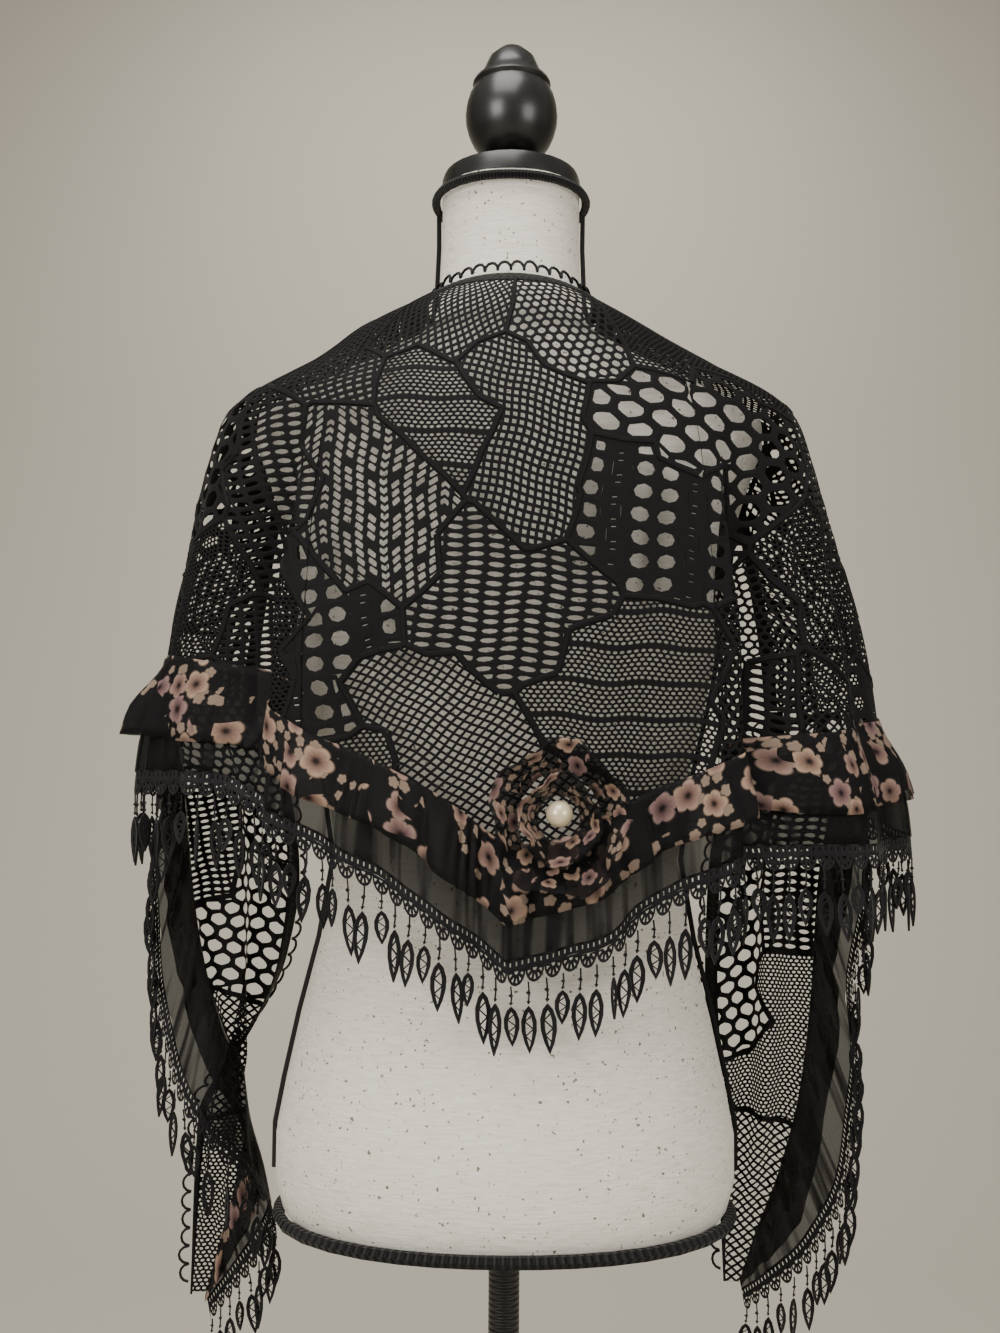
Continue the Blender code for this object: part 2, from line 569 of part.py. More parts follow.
def petal_ring(name, foot, rim, deep, lobes, sway, phase, plane):
    """An open ruffled cup of chiffon facing -Y: one ring of the rosette."""
    def surface(turn, part):
        radius = foot + (rim - foot) * part ** 0.8
        ripple = sway * part * np.sin(lobes * turn + phase)
        reach = radius + 0.5 * ripple
        x = ROSETTE[0] + reach * np.cos(turn)
        z = TORSO_Z + ROSETTE[1] + reach * 1.12 * np.sin(turn)
        y = plane - deep * part ** 0.7 + 0.6 * ripple
        return np.stack((x, y, z), axis=-1)
    sides, rows = 32, 4
    turn = np.linspace(0, 2 * math.pi, sides, endpoint=False)
    turns, parts = np.meshgrid(turn, np.linspace(0.02, 1.0, rows))
    normal = normals(surface, turns, parts)
    layers = [surface(turns, parts) + normal * side * CLOTH / 2 for side in (1, -1)]
    points = np.concatenate([layer.reshape(-1, 3) for layer in layers])
    faces = []
    count = rows * sides
    for k in range(sides):
        n = (k + 1) % sides
        for r in range(rows - 1):
            quad = [r * sides + k, r * sides + n, (r + 1) * sides + n, (r + 1) * sides + k]
            for one_face in halves(points, quad):
                faces.append(one_face)
                faces.append(tuple(count + corner for corner in reversed(one_face)))
        top = (rows - 1) * sides
        faces.append((n, k, count + k, count + n))
        faces.append((top + k, top + n, count + top + n, count + top + k))
    return mesh_object(name, points, outward_faces(points, faces))


def build_rosette():
    """Two ruffled rings of floral chiffon round a pearl, sewn on the back of the flounce."""
    across = np.degrees(np.arctan2(ROSETTE[0], 0.125))
    reach = np.linspace(across - 22, across + 22, 12)
    lowest = min(float(flounce(np.array(a), np.array(d))[1]) for a in reach for d in (0.0, 0.02, 0.04))
    plane = lowest - 0.0140
    finish(petal_ring("rosette_outer", 0.024, 0.040, 0.012, 5, 0.005, 0.6, plane), "rosette outer", FLORAL, 0.6)
    finish(petal_ring("rosette_inner", 0.012, 0.0225, 0.017, 4, 0.004, 2.2, plane), "rosette inner", FLORAL, 0.6)
    pearl = [Turn(PEARL_RADIUS * math.sin(math.pi * k / 10), PEARL_RADIUS * (1 - math.cos(math.pi * k / 10)))
             for k in range(11)]
    pearl[0] = Turn(0.0, 0.0)
    pearl[-1] = Turn(0.0, 2 * PEARL_RADIUS)
    obj = lathe("pearl", pearl, 0.0, 16)
    obj.location = (ROSETTE[0], plane - 0.007, TORSO_Z + ROSETTE[1] - PEARL_RADIUS + 0.003)
    finish(obj, "pearl", (0.72, 0.66, 0.55), 0.2)


# ---------------------------------------------------------------- the dress form and its stand
LINEN = (0.71, 0.69, 0.65)


def build_torso():
    sides = 36
    heights = [row.height for row in TORSO]
    turn = np.linspace(0, 360, sides, endpoint=False)
    grid = np.meshgrid(turn, np.array(heights))
    rings = torso_point(grid[0], grid[1]).reshape(-1, 3)
    points = np.concatenate((rings, [(0, 0, TORSO_Z), (0, 0, TORSO_Z + heights[-1])]))
    faces = []
    last = (len(heights) - 1) * sides
    for k in range(sides):
        n = (k + 1) % sides
        for r in range(len(heights) - 1):
            faces.append((r * sides + k, r * sides + n, (r + 1) * sides + n, (r + 1) * sides + k))
        faces.append((n, k, len(points) - 2))
        faces.append((last + k, last + n, len(points) - 1))
    finish(mesh_object("torso", points, outward_faces(points, faces)), "linen cover", LINEN, 0.9)


CORD_TOP = 0.7000          # the side cords end under the neck braid


def build_form_braids():
    """Braid round the torso's bottom and neck top, and a cord down each side seam."""
    cord = 0.0017
    hem = 0.0042
    turn = np.linspace(0, 360, 36, endpoint=False)
    low = torso_point(turn, np.full_like(turn, 0.006), hem + GAP + 0.0016)
    finish(tube("form_hem_braid", low, hem, True), "hem braid", BLACK, 0.7)
    top = torso_point(turn, np.full_like(turn, 0.7075), hem * 0.75 + GAP + 0.0012)
    finish(tube("form_neck_braid", top, hem * 0.75, True), "neck braid", BLACK, 0.7)
    heights = [row.height for row in TORSO if 0.012 < row.height < 0.7] + [CORD_TOP]
    for side, name in ((-1, "left"), (1, "right")):
        path = []
        for height in heights:
            small = 0.001
            one = torso_point(np.array(90.0 * side), np.array(height + small))
            two = torso_point(np.array(90.0 * side), np.array(height - small))
            slope = (one - two) / np.linalg.norm(one - two)
            out = np.array((side * slope[2], 0.0, -side * slope[0]))
            path.append(torso_point(np.array(90.0 * side), np.array(height)) + out * (cord + 3 * GAP))
        finish(tube("form_side_cord_" + name, path, cord), "side cord " + name, BLACK, 0.7)


def build_finial():
    """Black turned cap, collar, ball and stepped dome on the neck."""
    neck = TORSO_Z + TORSO[-1].height + GAP
    finish(lathe("neck_cap", NECK_CAP, neck, 32), "painted cap", BLACK, 0.35)
    finish(lathe("finial_collar", FINIAL_COLLAR, neck), "painted collar", BLACK, 0.35)
    low, high = FINIAL_COLLAR[-1].height + GAP, FINIAL_DOME[0].height - GAP
    ball = [Turn(0.0, low)]
    first = math.asin((low - BALL_CENTRE) / (BALL_RADIUS + 0.0040))
    final = math.asin((high - BALL_CENTRE) / (BALL_RADIUS + 0.0040))
    for k in range(10):
        a = first + (final - first) * k / 9
        ball.append(Turn(BALL_RADIUS * math.cos(a), BALL_CENTRE + (BALL_RADIUS + 0.0040) * math.sin(a)))
    ball[1] = Turn(ball[1].radius, low)
    ball[-1] = Turn(ball[-1].radius, high)
    ball.append(Turn(0.0, high))
    finish(lathe("finial_ball", ball, neck), "painted ball", BLACK, 0.3)
    finish(lathe("finial_dome", FINIAL_DOME, neck), "painted dome", BLACK, 0.35)


def build_stand():
    """Ringed pole in a collar under the torso, on a round weighted base."""
    base_top = BASE_PLATE[-1].height
    collar_top = POLE_COLLAR[-1].height
    pole = [Turn(0.0, base_top + GAP), Turn(POLE_RADIUS, base_top + GAP)]
    pole += [Turn(POLE_RADIUS, POLE_COLLAR[0].height - GAP), Turn(0.0, POLE_COLLAR[0].height - GAP)]
    finish(lathe("pole", pole, 0.0), "painted pole", BLACK, 0.4)
    finish(lathe("pole_collar", POLE_COLLAR, TORSO_Z - GAP - collar_top), "painted pole collar", BLACK, 0.4)
    finish(lathe("base_plate", BASE_PLATE, 0.0, 32), "painted base", BLACK, 0.45)


def main():
    for obj in list(bpy.data.objects):
        bpy.data.objects.remove(obj, do_unlink=True)
    build_torso()
    build_form_braids()
    build_finial()
    build_stand()
    build_lace()
    build_edging()
    build_flounces()
    build_rosette()


main()
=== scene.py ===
"""Looks of the lace shawl and its dress form: nets, ruffles, tassels, finishes, stage and camera."""
import math
from collections import namedtuple

import bpy
import numpy as np
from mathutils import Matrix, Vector


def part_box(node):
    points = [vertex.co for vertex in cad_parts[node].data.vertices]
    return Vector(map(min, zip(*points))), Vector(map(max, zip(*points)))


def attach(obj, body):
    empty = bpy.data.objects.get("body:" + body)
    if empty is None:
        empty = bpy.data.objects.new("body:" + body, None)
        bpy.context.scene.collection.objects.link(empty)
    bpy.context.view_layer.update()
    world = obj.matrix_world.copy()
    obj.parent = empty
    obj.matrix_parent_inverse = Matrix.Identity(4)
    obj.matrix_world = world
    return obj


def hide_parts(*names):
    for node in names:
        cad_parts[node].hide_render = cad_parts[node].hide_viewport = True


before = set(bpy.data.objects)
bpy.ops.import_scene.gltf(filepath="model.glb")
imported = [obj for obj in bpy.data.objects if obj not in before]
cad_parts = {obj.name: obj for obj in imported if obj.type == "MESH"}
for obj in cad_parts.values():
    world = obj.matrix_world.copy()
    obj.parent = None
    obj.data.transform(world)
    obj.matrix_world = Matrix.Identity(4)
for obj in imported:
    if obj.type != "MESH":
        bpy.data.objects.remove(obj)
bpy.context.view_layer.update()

bl_info = {
    "name": "Lace Shawl on a Dress Form",
    "version": (1, 0, 0),
    "blender": (4, 5, 0),
    "location": "View3D > Sidebar > Shawl",
    "description": "Builds a worn patchwork lace shawl, its ruffles and fringe, and the dress form",
    "category": "Add Mesh",
}

MM = 0.001

# ---------------------------------------------------------------- sizes shared with the solid model
TORSO_Z = 0.500
CLOTH = 0.0012
NECK_HEIGHT = 0.620
NECK_RISE = 0.013
BRAID_WIDE = 0.008
TAIL_ANGLE = 97.0
FRONT_ANGLE = 115.0
TRIM_DEEP = 0.017
FLORAL_DEEP = 0.050
FLORAL_BACK = 0.036
LIFT = 0.0010
TAIL_LIFT = 0.0042
RUFFLE_STAND = 0.0055
FLARE_BACK = 0.08
FLARE_SIDE = 0.20
LEAN_REACH = 0.060
SQUARE_CAPE = 2.3
SEAM = 0.0012
ROSETTE = (0.030, 0.270)
FRONT_RADIUS = 0.2              # about the cape's radius at its front edges
EDGE_TURN = math.degrees(BRAID_WIDE / FRONT_RADIUS)
EDGE_SHARE = EDGE_TURN / (FRONT_ANGLE - TAIL_ANGLE)

Ring = namedtuple("Ring", "height left right back front")
CAPE = (                                    # rings of the draped lace, from the neck down
    Ring(0.620, 0.0610, 0.0615, 0.066, 0.052),
    Ring(0.610, 0.084, 0.080, 0.079, 0.064),
    Ring(0.598, 0.112, 0.104, 0.092, 0.076),
    Ring(0.576, 0.146, 0.147, 0.105, 0.092),
    Ring(0.556, 0.185, 0.189, 0.113, 0.104),
    Ring(0.545, 0.199, 0.201, 0.117, 0.110),
    Ring(0.515, 0.210, 0.212, 0.123, 0.118),
    Ring(0.450, 0.225, 0.230, 0.128, 0.128),
    Ring(0.375, 0.239, 0.249, 0.130, 0.132),
    Ring(0.300, 0.243, 0.257, 0.129, 0.132),
    Ring(0.150, 0.245, 0.260, 0.126, 0.130),
)

Fold = namedtuple("Fold", "top_angle hem_angle half_width depth start full")
FOLDS = (                                   # troughs that deepen from the shoulders down
    Fold(-56.0, -61.0, 8.0, 0.040, 0.548, 0.400),
    Fold(57.0, 60.0, 8.5, 0.044, 0.548, 0.390),
    Fold(-78.0, -83.0, 7.0, 0.011, 0.520, 0.400),
    Fold(80.0, 77.0, 6.5, 0.009, 0.525, 0.410),
    Fold(-98.0, -101.0, 7.5, 0.017, 0.540, 0.430),
    Fold(96.0, 100.0, 7.0, 0.015, 0.535, 0.420),
    Fold(-30.0, -38.0, 9.0, 0.004, 0.420, 0.330),
    Fold(26.0, 35.0, 9.0, 0.005, 0.400, 0.320),
)

Hem = namedtuple("Hem", "angle left right drop")
HEM = (                                     # the lace's seam, and how deep the flounce hangs there
    Hem(0.0, 0.250, 0.250, 0.066),
    Hem(20.0, 0.284, 0.260, 0.064),
    Hem(35.0, 0.304, 0.284, 0.060),
    Hem(45.0, 0.317, 0.297, 0.058),
    Hem(55.0, 0.338, 0.312, 0.062),
    Hem(65.0, 0.364, 0.321, 0.068),
    Hem(75.0, 0.371, 0.328, 0.074),
    Hem(90.0, 0.374, 0.338, 0.078),
    Hem(97.0, 0.366, 0.345, 0.076),
    Hem(115.0, 0.352, 0.348, 0.076),
)

Wave = namedtuple("Wave", "turns depth phase")
FLOUNCE_WAVES = (Wave(17.0, 0.0034, 0.4), Wave(29.0, 0.0020, 2.1), Wave(7.0, 0.0030, 4.0))
RUFFLE_WAVES = (Wave(23.0, 0.0036, 1.1), Wave(37.0, 0.0018, 0.2), Wave(11.0, 0.0026, 3.3))

Section = namedtuple("Section", "height edge_x edge_y seam_x seam_y fold lean_x lean_y deep")
TAIL_RIGHT = (                              # the flounce leans from the seam by lean for each metre it falls
    Section(-0.068, 0.1600, 0.0740, 0.1720, 0.0735, 0.0000, 0.20, 0.00, 0.006),
    Section(-0.040, 0.1590, 0.0750, 0.1810, 0.0715, 0.0010, 0.28, -0.02, 0.024),
    Section(0.010, 0.1570, 0.0770, 0.2000, 0.0690, 0.0040, 0.38, -0.06, 0.044),
    Section(0.070, 0.1540, 0.0790, 0.2150, 0.0650, 0.0080, 0.42, -0.08, 0.060),
    Section(0.140, 0.1490, 0.0820, 0.2230, 0.0600, 0.0110, 0.38, -0.06, 0.066),
    Section(0.220, 0.1520, 0.0850, 0.2280, 0.0550, 0.0140, 0.32, -0.02, 0.068),
    Section(0.300, 0.1680, 0.0880, 0.2400, 0.0440, 0.0140, 0.28, 0.02, 0.072),
    Section(0.360, 0.1900, 0.0900, 0.2480, 0.0300, 0.0060, 0.27, 0.03, 0.076),
)
TAIL_LEFT = (                               # the lower half is turned over: the edge lies outside
    Section(-0.082, -0.2290, 0.0800, -0.2170, 0.0800, 0.0000, 0.20, 0.00, 0.004),
    Section(-0.050, -0.2285, 0.0800, -0.2090, 0.0790, 0.0010, 0.34, -0.02, 0.018),
    Section(0.000, -0.2285, 0.0820, -0.1960, 0.0770, 0.0030, 0.46, -0.06, 0.034),
    Section(0.045, -0.2280, 0.0900, -0.1880, 0.0720, 0.0050, 0.34, -0.18, 0.050),
    Section(0.080, -0.2120, 0.1040, -0.1900, 0.0620, 0.0060, 0.12, -0.30, 0.058),
    Section(0.115, -0.1880, 0.1060, -0.2050, 0.0560, 0.0070, -0.12, -0.28, 0.062),
    Section(0.160, -0.1660, 0.0960, -0.2200, 0.0580, 0.0090, -0.26, -0.14, 0.064),
    Section(0.220, -0.1560, 0.0880, -0.2300, 0.0560, 0.0120, -0.28, -0.04, 0.068),
    Section(0.300, -0.1680, 0.0900, -0.2360, 0.0440, 0.0140, -0.27, 0.02, 0.072),
    Section(0.360, -0.1880, 0.0900, -0.2420, 0.0300, 0.0060, -0.27, 0.03, 0.076),
)
TAIL_WAVES = (Wave(3.0, 0.0018, 0.8), Wave(4.6, 0.0010, 2.4))
TAIL_PLEATS = 2.0          # folds across a tail
TAIL_BLEND = 0.060         # over this height the cape's ring turns into the tail's section


def tail_table(side):
    """The sections of the tail on a side: 1 is the right, -1 the left."""
    return TAIL_RIGHT if side > 0 else TAIL_LEFT


def tail_tip(side):
    """Height of a tail's tip."""
    return min(row.height for row in tail_table(side))


# ---------------------------------------------------------------- reading the tables
def read(table, column, at):
    """A column of a table at its key, on a smooth curve that never overshoots a row."""
    rows = sorted(table)
    key = np.array([row[0] for row in rows])
    value = np.array([getattr(row, column) for row in rows])
    step = np.diff(key)
    slope = np.diff(value) / step
    tangent = np.concatenate(([slope[0]], np.zeros(len(rows) - 2), [slope[-1]]))
    for i in range(1, len(rows) - 1):
        if slope[i - 1] * slope[i] > 0:
            before = 2 * step[i] + step[i - 1]
            after = step[i] + 2 * step[i - 1]
            tangent[i] = (before + after) / (before / slope[i - 1] + after / slope[i])
    at = np.clip(np.asarray(at, dtype=float), key[0], key[-1])
    i = np.clip(np.searchsorted(key, at, side="right") - 1, 0, len(rows) - 2)
    t = (at - key[i]) / step[i]
    return (value[i] * (1 + 2 * t) * (1 - t) ** 2 + tangent[i] * step[i] * t * (1 - t) ** 2
            + value[i + 1] * t * t * (3 - 2 * t) + tangent[i + 1] * step[i] * t * t * (t - 1))


def ease(t):
    """From 0 to 1 with level ends."""
    t = np.clip(t, 0.0, 1.0)
    return t * t * (3 - 2 * t)


def settle(drop):
    """A sideways lean that dies out down the cloth, as it comes to hang straight."""
    return LEAN_REACH * np.tanh(drop / LEAN_REACH)


def waves(table, turn):
    """The sum of a table's waves at a place, as a part of a whole turn."""
    return sum(row.depth * np.sin(2 * math.pi * row.turns * turn + row.phase) for row in table)


def ring_radius(angle, across, back, front, square):
    """Radius of a rounded ring at an angle from the centre back."""
    deep = np.where(np.cos(angle) > 0, back, front)
    wide_part = (np.abs(np.sin(angle)) / across) ** square
    deep_part = (np.abs(np.cos(angle)) / deep) ** square
    return (wide_part + deep_part) ** (-1 / square)


# ---------------------------------------------------------------- the draped surfaces
def around(angle, radius, height):
    """Points at angles in degrees from the centre back, negative on the left."""
    turn = np.radians(angle)
    return np.stack((radius * np.sin(turn), -radius * np.cos(turn), TORSO_Z + height), axis=-1)


def hem_height(angle):
    """Height of the lace's seam at an angle."""
    left = read(HEM, "left", np.abs(angle))
    right = read(HEM, "right", np.abs(angle))
    return np.where(angle < 0, left, right)


def cape_radius(angle, height):
    """Radius of the draped lace, its folds included."""
    across = np.where(angle < 0, read(CAPE, "left", height), read(CAPE, "right", height))
    radius = ring_radius(np.radians(angle), across, read(CAPE, "back", height),
                         read(CAPE, "front", height), SQUARE_CAPE)
    for fold in FOLDS:
        down = ease((fold.start - height) / (fold.start - fold.full))
        centre = fold.top_angle + (fold.hem_angle - fold.top_angle) * down
        near = np.clip((angle - centre) / fold.half_width, -1, 1)
        radius = radius - fold.depth * down * np.cos(near * math.pi / 2) ** 2
    return radius


def cape(angle, height):
    """The lace over back, shoulders and arms; the neckline rises towards the centre back."""
    rise = NECK_RISE * np.clip(np.cos(np.radians(angle)), 0, 1) ** 1.5 * ease((height - 0.555) / 0.065)
    return around(angle, cape_radius(angle, height), height + rise)


def flounce_radius(angle, drop):
    """Radius of the sheer flounce, at a distance below the lace's seam."""
    part = drop / 0.08
    at_seam = cape_radius(angle, hem_height(angle))
    smooth = 0.5 * (cape_radius(angle - 7, hem_height(angle)) + cape_radius(angle + 7, hem_height(angle)))
    flare = FLARE_BACK + FLARE_SIDE * ease((np.abs(angle) - 45) / 35)
    filled = at_seam + np.maximum(smooth - at_seam, 0) * 0.55 * ease(part)
    return filled + flare * settle(drop) + waves(FLOUNCE_WAVES, angle / 360) * ease(part * 1.4)


def flounce(angle, drop):
    """The sheer flounce below the lace, out to the tails."""
    return around(angle, flounce_radius(angle, drop), hem_height(angle) - drop)


def ruffle(angle, drop):
    """The floral ruffle over the sheer flounce, clear of it all over."""
    radius = flounce_radius(angle, drop)
    change = flounce_radius(angle + 0.5, drop) - flounce_radius(angle - 0.5, drop)
    aslant = np.sqrt(1 + (change / math.radians(1.0) / radius) ** 2)
    stand = np.maximum(RUFFLE_STAND + waves(RUFFLE_WAVES, angle / 360), 0.0) * ease(drop / 0.035)
    return around(angle, radius + (CLOTH + LIFT) * aslant + stand, hem_height(angle) - drop)


def tail(side, across, height):
    """The front end that hangs free: across is 0 at the long edge and 1 at the flounce's seam."""
    table = tail_table(side)
    edge = np.stack((read(table, "edge_x", height), read(table, "edge_y", height)), axis=-1)
    seam = np.stack((read(table, "seam_x", height), read(table, "seam_y", height)), axis=-1)
    along = seam - edge
    long = np.linalg.norm(along, axis=-1, keepdims=True)
    normal = np.stack((along[..., 1], -along[..., 0]), axis=-1) / long
    pleat = read(table, "fold", height) * np.sin(2 * math.pi * TAIL_PLEATS * across) * side
    pleat = 1.2 * pleat * np.sin(math.pi * np.clip(across, 0, 1))
    flat = edge + along * across[..., None] + normal * pleat[..., None]
    hung = np.concatenate((flat, (TORSO_Z + height)[..., None]), axis=-1)
    angle = side * (FRONT_ANGLE + (TAIL_ANGLE - FRONT_ANGLE) * across)
    start = hem_height(angle)
    change = ease((start - height) / TAIL_BLEND)[..., None]
    return cape(angle, height) * (1 - change) + hung * change


def tail_flounce(side, height, drop):
    """The flounce along a tail's seam, leaning away from the tail as it falls."""
    table = tail_table(side)
    seam = tail(side, np.ones_like(height), height)
    change = ease((hem_height(np.array(side * TAIL_ANGLE)) - height) / 0.08)
    run = settle(drop) * (1 - change) + drop * change
    lean_x = read(table, "lean_x", height) * run
    lean_y = read(table, "lean_y", height) * run
    ripple = waves(TAIL_WAVES, height / 0.42) * ease(drop / 0.05) * change
    return seam + np.stack((lean_x + 0.45 * ripple, lean_y - 0.9 * ripple, -drop), axis=-1)


# ---------------------------------------------------------------- the lace laid flat
PLAN_STEP = 0.005
PLAN_TURN = 0.5
PLAN_ANGLES = np.arange(-FRONT_ANGLE, FRONT_ANGLE + PLAN_TURN / 2, PLAN_TURN)
PLAN_HEIGHTS = np.arange(0.245, 0.6176, PLAN_STEP)
STRAIGHT = 0.500                # above this height the flat plan follows the slope of the shoulders
GATHER = 0.545                  # above this one the columns of the net draw together to the neck


def plan_tables():
    """Lengths along the cloth from the centre back, and up it, over a grid of angles and heights."""
    angle, height = np.meshgrid(PLAN_ANGLES, PLAN_HEIGHTS)
    points = cape(angle, np.minimum(height, GATHER))
    steps = np.linalg.norm(np.diff(points, axis=1), axis=-1)
    across = np.concatenate((np.zeros((len(PLAN_HEIGHTS), 1)), np.cumsum(steps, axis=1)), axis=1)
    middle = len(PLAN_ANGLES) // 2
    across -= across[:, middle:middle + 1]
    rises = np.linalg.norm(np.diff(cape(angle, height), axis=0), axis=-1)
    rises = np.where(PLAN_HEIGHTS[1:, None] > STRAIGHT, rises, PLAN_STEP)
    up = np.concatenate((np.zeros((1, len(PLAN_ANGLES))), np.cumsum(rises, axis=0)))
    return across, PLAN_HEIGHTS[0] + up


def plan_column(angle):
    """The plan's column nearest to each angle."""
    column = np.rint((angle - PLAN_ANGLES[0]) / PLAN_TURN)
    return np.clip(column, 0, len(PLAN_ANGLES) - 1).astype(int)


def locate(plan, flat):
    """Angles and heights on the cape of points of the flat lace."""
    across, up = plan
    side, rise = flat[..., 0].ravel(), flat[..., 1].ravel()
    height = np.clip(rise, PLAN_HEIGHTS[0], PLAN_HEIGHTS[-1])
    angle = np.zeros_like(side)
    for _ in range(4):
        row = np.clip((height - PLAN_HEIGHTS[0]) / PLAN_STEP, 0, len(PLAN_HEIGHTS) - 1.001)
        low = row.astype(int)
        part = row - low
        for r in np.unique(low):
            here = low == r
            one = np.interp(side[here], across[r], PLAN_ANGLES)
            two = np.interp(side[here], across[r + 1], PLAN_ANGLES)
            angle[here] = one + (two - one) * part[here]
        column = plan_column(angle)
        for c in np.unique(column):
            here = column == c
            height[here] = np.interp(rise[here], up[:, c], PLAN_HEIGHTS)
    return angle.reshape(flat.shape[:-1]), height.reshape(flat.shape[:-1])


# ---------------------------------------------------------------- nets
Net = namedtuple("Net", "kind wide high thread round every")
NETS = {
    "tulle": Net("hexes", 4.3, 3.7, 1.60, False, 0),
    "barred tulle": Net("hexes", 4.3, 3.7, 1.60, False, 8),
    "ladder": Net("ladder", 13.0, 5.8, 2.6, True, 0),
    "fine ladder": Net("ladder", 9.5, 4.6, 2.3, True, 0),
    "zigzag": Net("zigzag", 7.8, 5.4, 2.5, True, 5),
    "slits": Net("diamonds", 6.6, 7.6, 2.3, False, 0),
    "ovals": Net("hexes", 23.0, 17.5, 5.8, True, 0),
    "rounds": Net("rounds", 17.0, 14.5, 5.0, True, 0),
    "fishnet": Net("diamonds", 7.6, 6.2, 1.75, False, 0),
    "hexes": Net("hexes", 7.2, 6.2, 2.1, True, 0),
    "rose window": Net("hexes", 8.0, 8.0, 2.6, True, 0),
    "bars": Net("ladder", 6.2, 4.8, 2.8, False, 0),
    "crochet": Net("hexes", 17.0, 13.0, 4.0, True, 0),
    "small crochet": Net("hexes", 10.0, 8.5, 3.0, True, 0),
}

Patch = namedtuple("Patch", "net turn seeds")
CAPE_PATCHES = (                # seeds in mm: across from the centre back, and up the cloth
    Patch("barred tulle", 0, ((-47, 530), (-68, 551), (-28, 508), (-58, 520))),
    Patch("ladder", 3, ((-165, 520), (-176, 480), (-193, 443), (-150, 478))),
    Patch("zigzag", 0, ((-110, 513), (-97, 460), (-65, 465), (-65, 423), (-110, 430), (-82, 495))),
    Patch("slits", 32, ((-3, 554), (22, 530), (-3, 498), (16, 465), (30, 500))),
    Patch("ovals", -18, ((93, 543), (143, 538), (183, 515), (119, 508), (171, 488), (70, 522))),
    Patch("rounds", -6, ((66, 493), (104, 468), (144, 430), (65, 448), (97, 430), (140, 470))),
    Patch("ladder", -4, ((-22, 428), (-40, 398), (9, 403), (34, 410), (-3, 372), (15, 375))),
    Patch("barred tulle", -2, ((52, 365), (90, 378), (122, 368), (58, 323), (109, 323), (30, 335),
                               (85, 300))),
    Patch("rounds", 8, ((-123, 418), (-115, 372), (-115, 335), (-92, 390))),
    Patch("fishnet", 12, ((-64, 343), (-33, 343), (-3, 318), (-52, 315), (-21, 287), (-83, 348), (-50, 290),
                          (10, 290), (40, 280))),
    Patch("hexes", 0, ((203, 398), (150, 355), (160, 395), (180, 350), (150, 310), (190, 300))),
    Patch("rose window", 10, ((39, 574), (67, 572), (20, 600), (55, 600))),
    Patch("bars", 14, ((-136, 565), (-105, 552), (-130, 600))),
    Patch("slits", -20, ((-49, 591), (-80, 590), (-20, 605))),
    Patch("tulle", 4, ((-140, 300), (-160, 350), (-150, 400), (-110, 300), (-90, 300))),
    Patch("tulle", -12, ((110, 600), (150, 590), (100, 570), (190, 565))),
    Patch("ladder", 8, ((257, 500), (285, 458), (240, 530))),
    Patch("tulle", -6, ((264, 410), (275, 385), (290, 420), (232, 440))),
    Patch("fishnet", 0, ((249, 345), (254, 318), (262, 300))),
    Patch("ladder", -8, ((216, 345), (215, 310))),
    Patch("ovals", 20, ((-250, 513), (-234, 475), (-215, 530))),
    Patch("tulle", 6, ((-241, 423), (-246, 390), (-225, 440))),
    Patch("small crochet", 0, ((-241, 350), (-246, 318), (-260, 300))),
    Patch("fine ladder", 6, ((-216, 383), (-209, 333), (-205, 300))),
    Patch("rounds", 0, ((-300, 470), (-320, 510), (-290, 540))),
    Patch("fishnet", 20, ((-300, 400), (-320, 360), (-290, 330), (-310, 300))),
    Patch("bars", -30, ((-360, 430), (-370, 480), (-350, 540))),
    Patch("barred tulle", 0, ((-380, 380), (-400, 330), (-370, 300))),
    Patch("zigzag", 0, ((-430, 430), (-440, 370), (-420, 500))),
    Patch("fine ladder", 0, ((320, 440), (330, 390), (310, 480))),
    Patch("rounds", 10, ((320, 330), (330, 300), (300, 350))),
    Patch("zigzag", 0, ((380, 460), (390, 420), (370, 510))),
    Patch("tulle", 0, ((390, 360), (400, 320), (380, 300))),
    Patch("slits", 15, ((450, 440), (460, 390), (440, 490), (460, 340))),
    Patch("slits", 0, ((-230, 590), (-190, 600), (-270, 600))),
    Patch("rose window", 0, ((-330, 590), (-380, 600), (-350, 640))),
    Patch("slits", 30, ((240, 590), (280, 600), (220, 620))),
    Patch("rounds", 0, ((340, 570), (360, 610), (400, 590))),
)
TAIL_PATCHES = (                # across from the tail's middle, and its height, in mm
    (Patch("small crochet", 0, ((-20, 320), (25, 330), (0, 290), (30, 270))),
     Patch("crochet", -8, ((0, 230), (20, 190), (-15, 180), (10, 150))),
     Patch("fine ladder", 10, ((-30, 240), (-35, 270))),
     Patch("fishnet", 0, ((0, 110), (10, 70), (-20, 100))),
     Patch("tulle", 0, ((0, 20), (5, -20), (0, -60)))),
    (Patch("rounds", 0, ((-20, 320), (25, 330), (0, 290))),
     Patch("crochet", 10, ((-20, 230), (-10, 190), (-25, 150), (0, 120))),
     Patch("ladder", 0, ((25, 240), (20, 200), (25, 270))),
     Patch("tulle", 0, ((20, 140), (10, 80), (15, 100))),
     Patch("fishnet", 0, ((0, 20), (5, -20), (0, -60)))),
)
HEX = ((0.0, 0.5), (-0.5, 0.25), (-0.5, -0.25), (0.0, -0.5), (0.5, -0.25), (0.5, 0.25))
BOX = ((-0.5, 0.5), (-0.5, -0.5), (0.5, -0.5), (0.5, 0.5))
DIAMOND = ((0.0, 0.5), (-0.5, 0.0), (0.0, -0.5), (0.5, 0.0))


def halved(corners):
    """A polygon with a corner added in the middle of each side."""
    out = []
    for one, two in zip(corners, corners[1:] + corners[:1]):
        out += [one, ((one[0] + two[0]) / 2, (one[1] + two[1]) / 2)]
    return tuple(out)


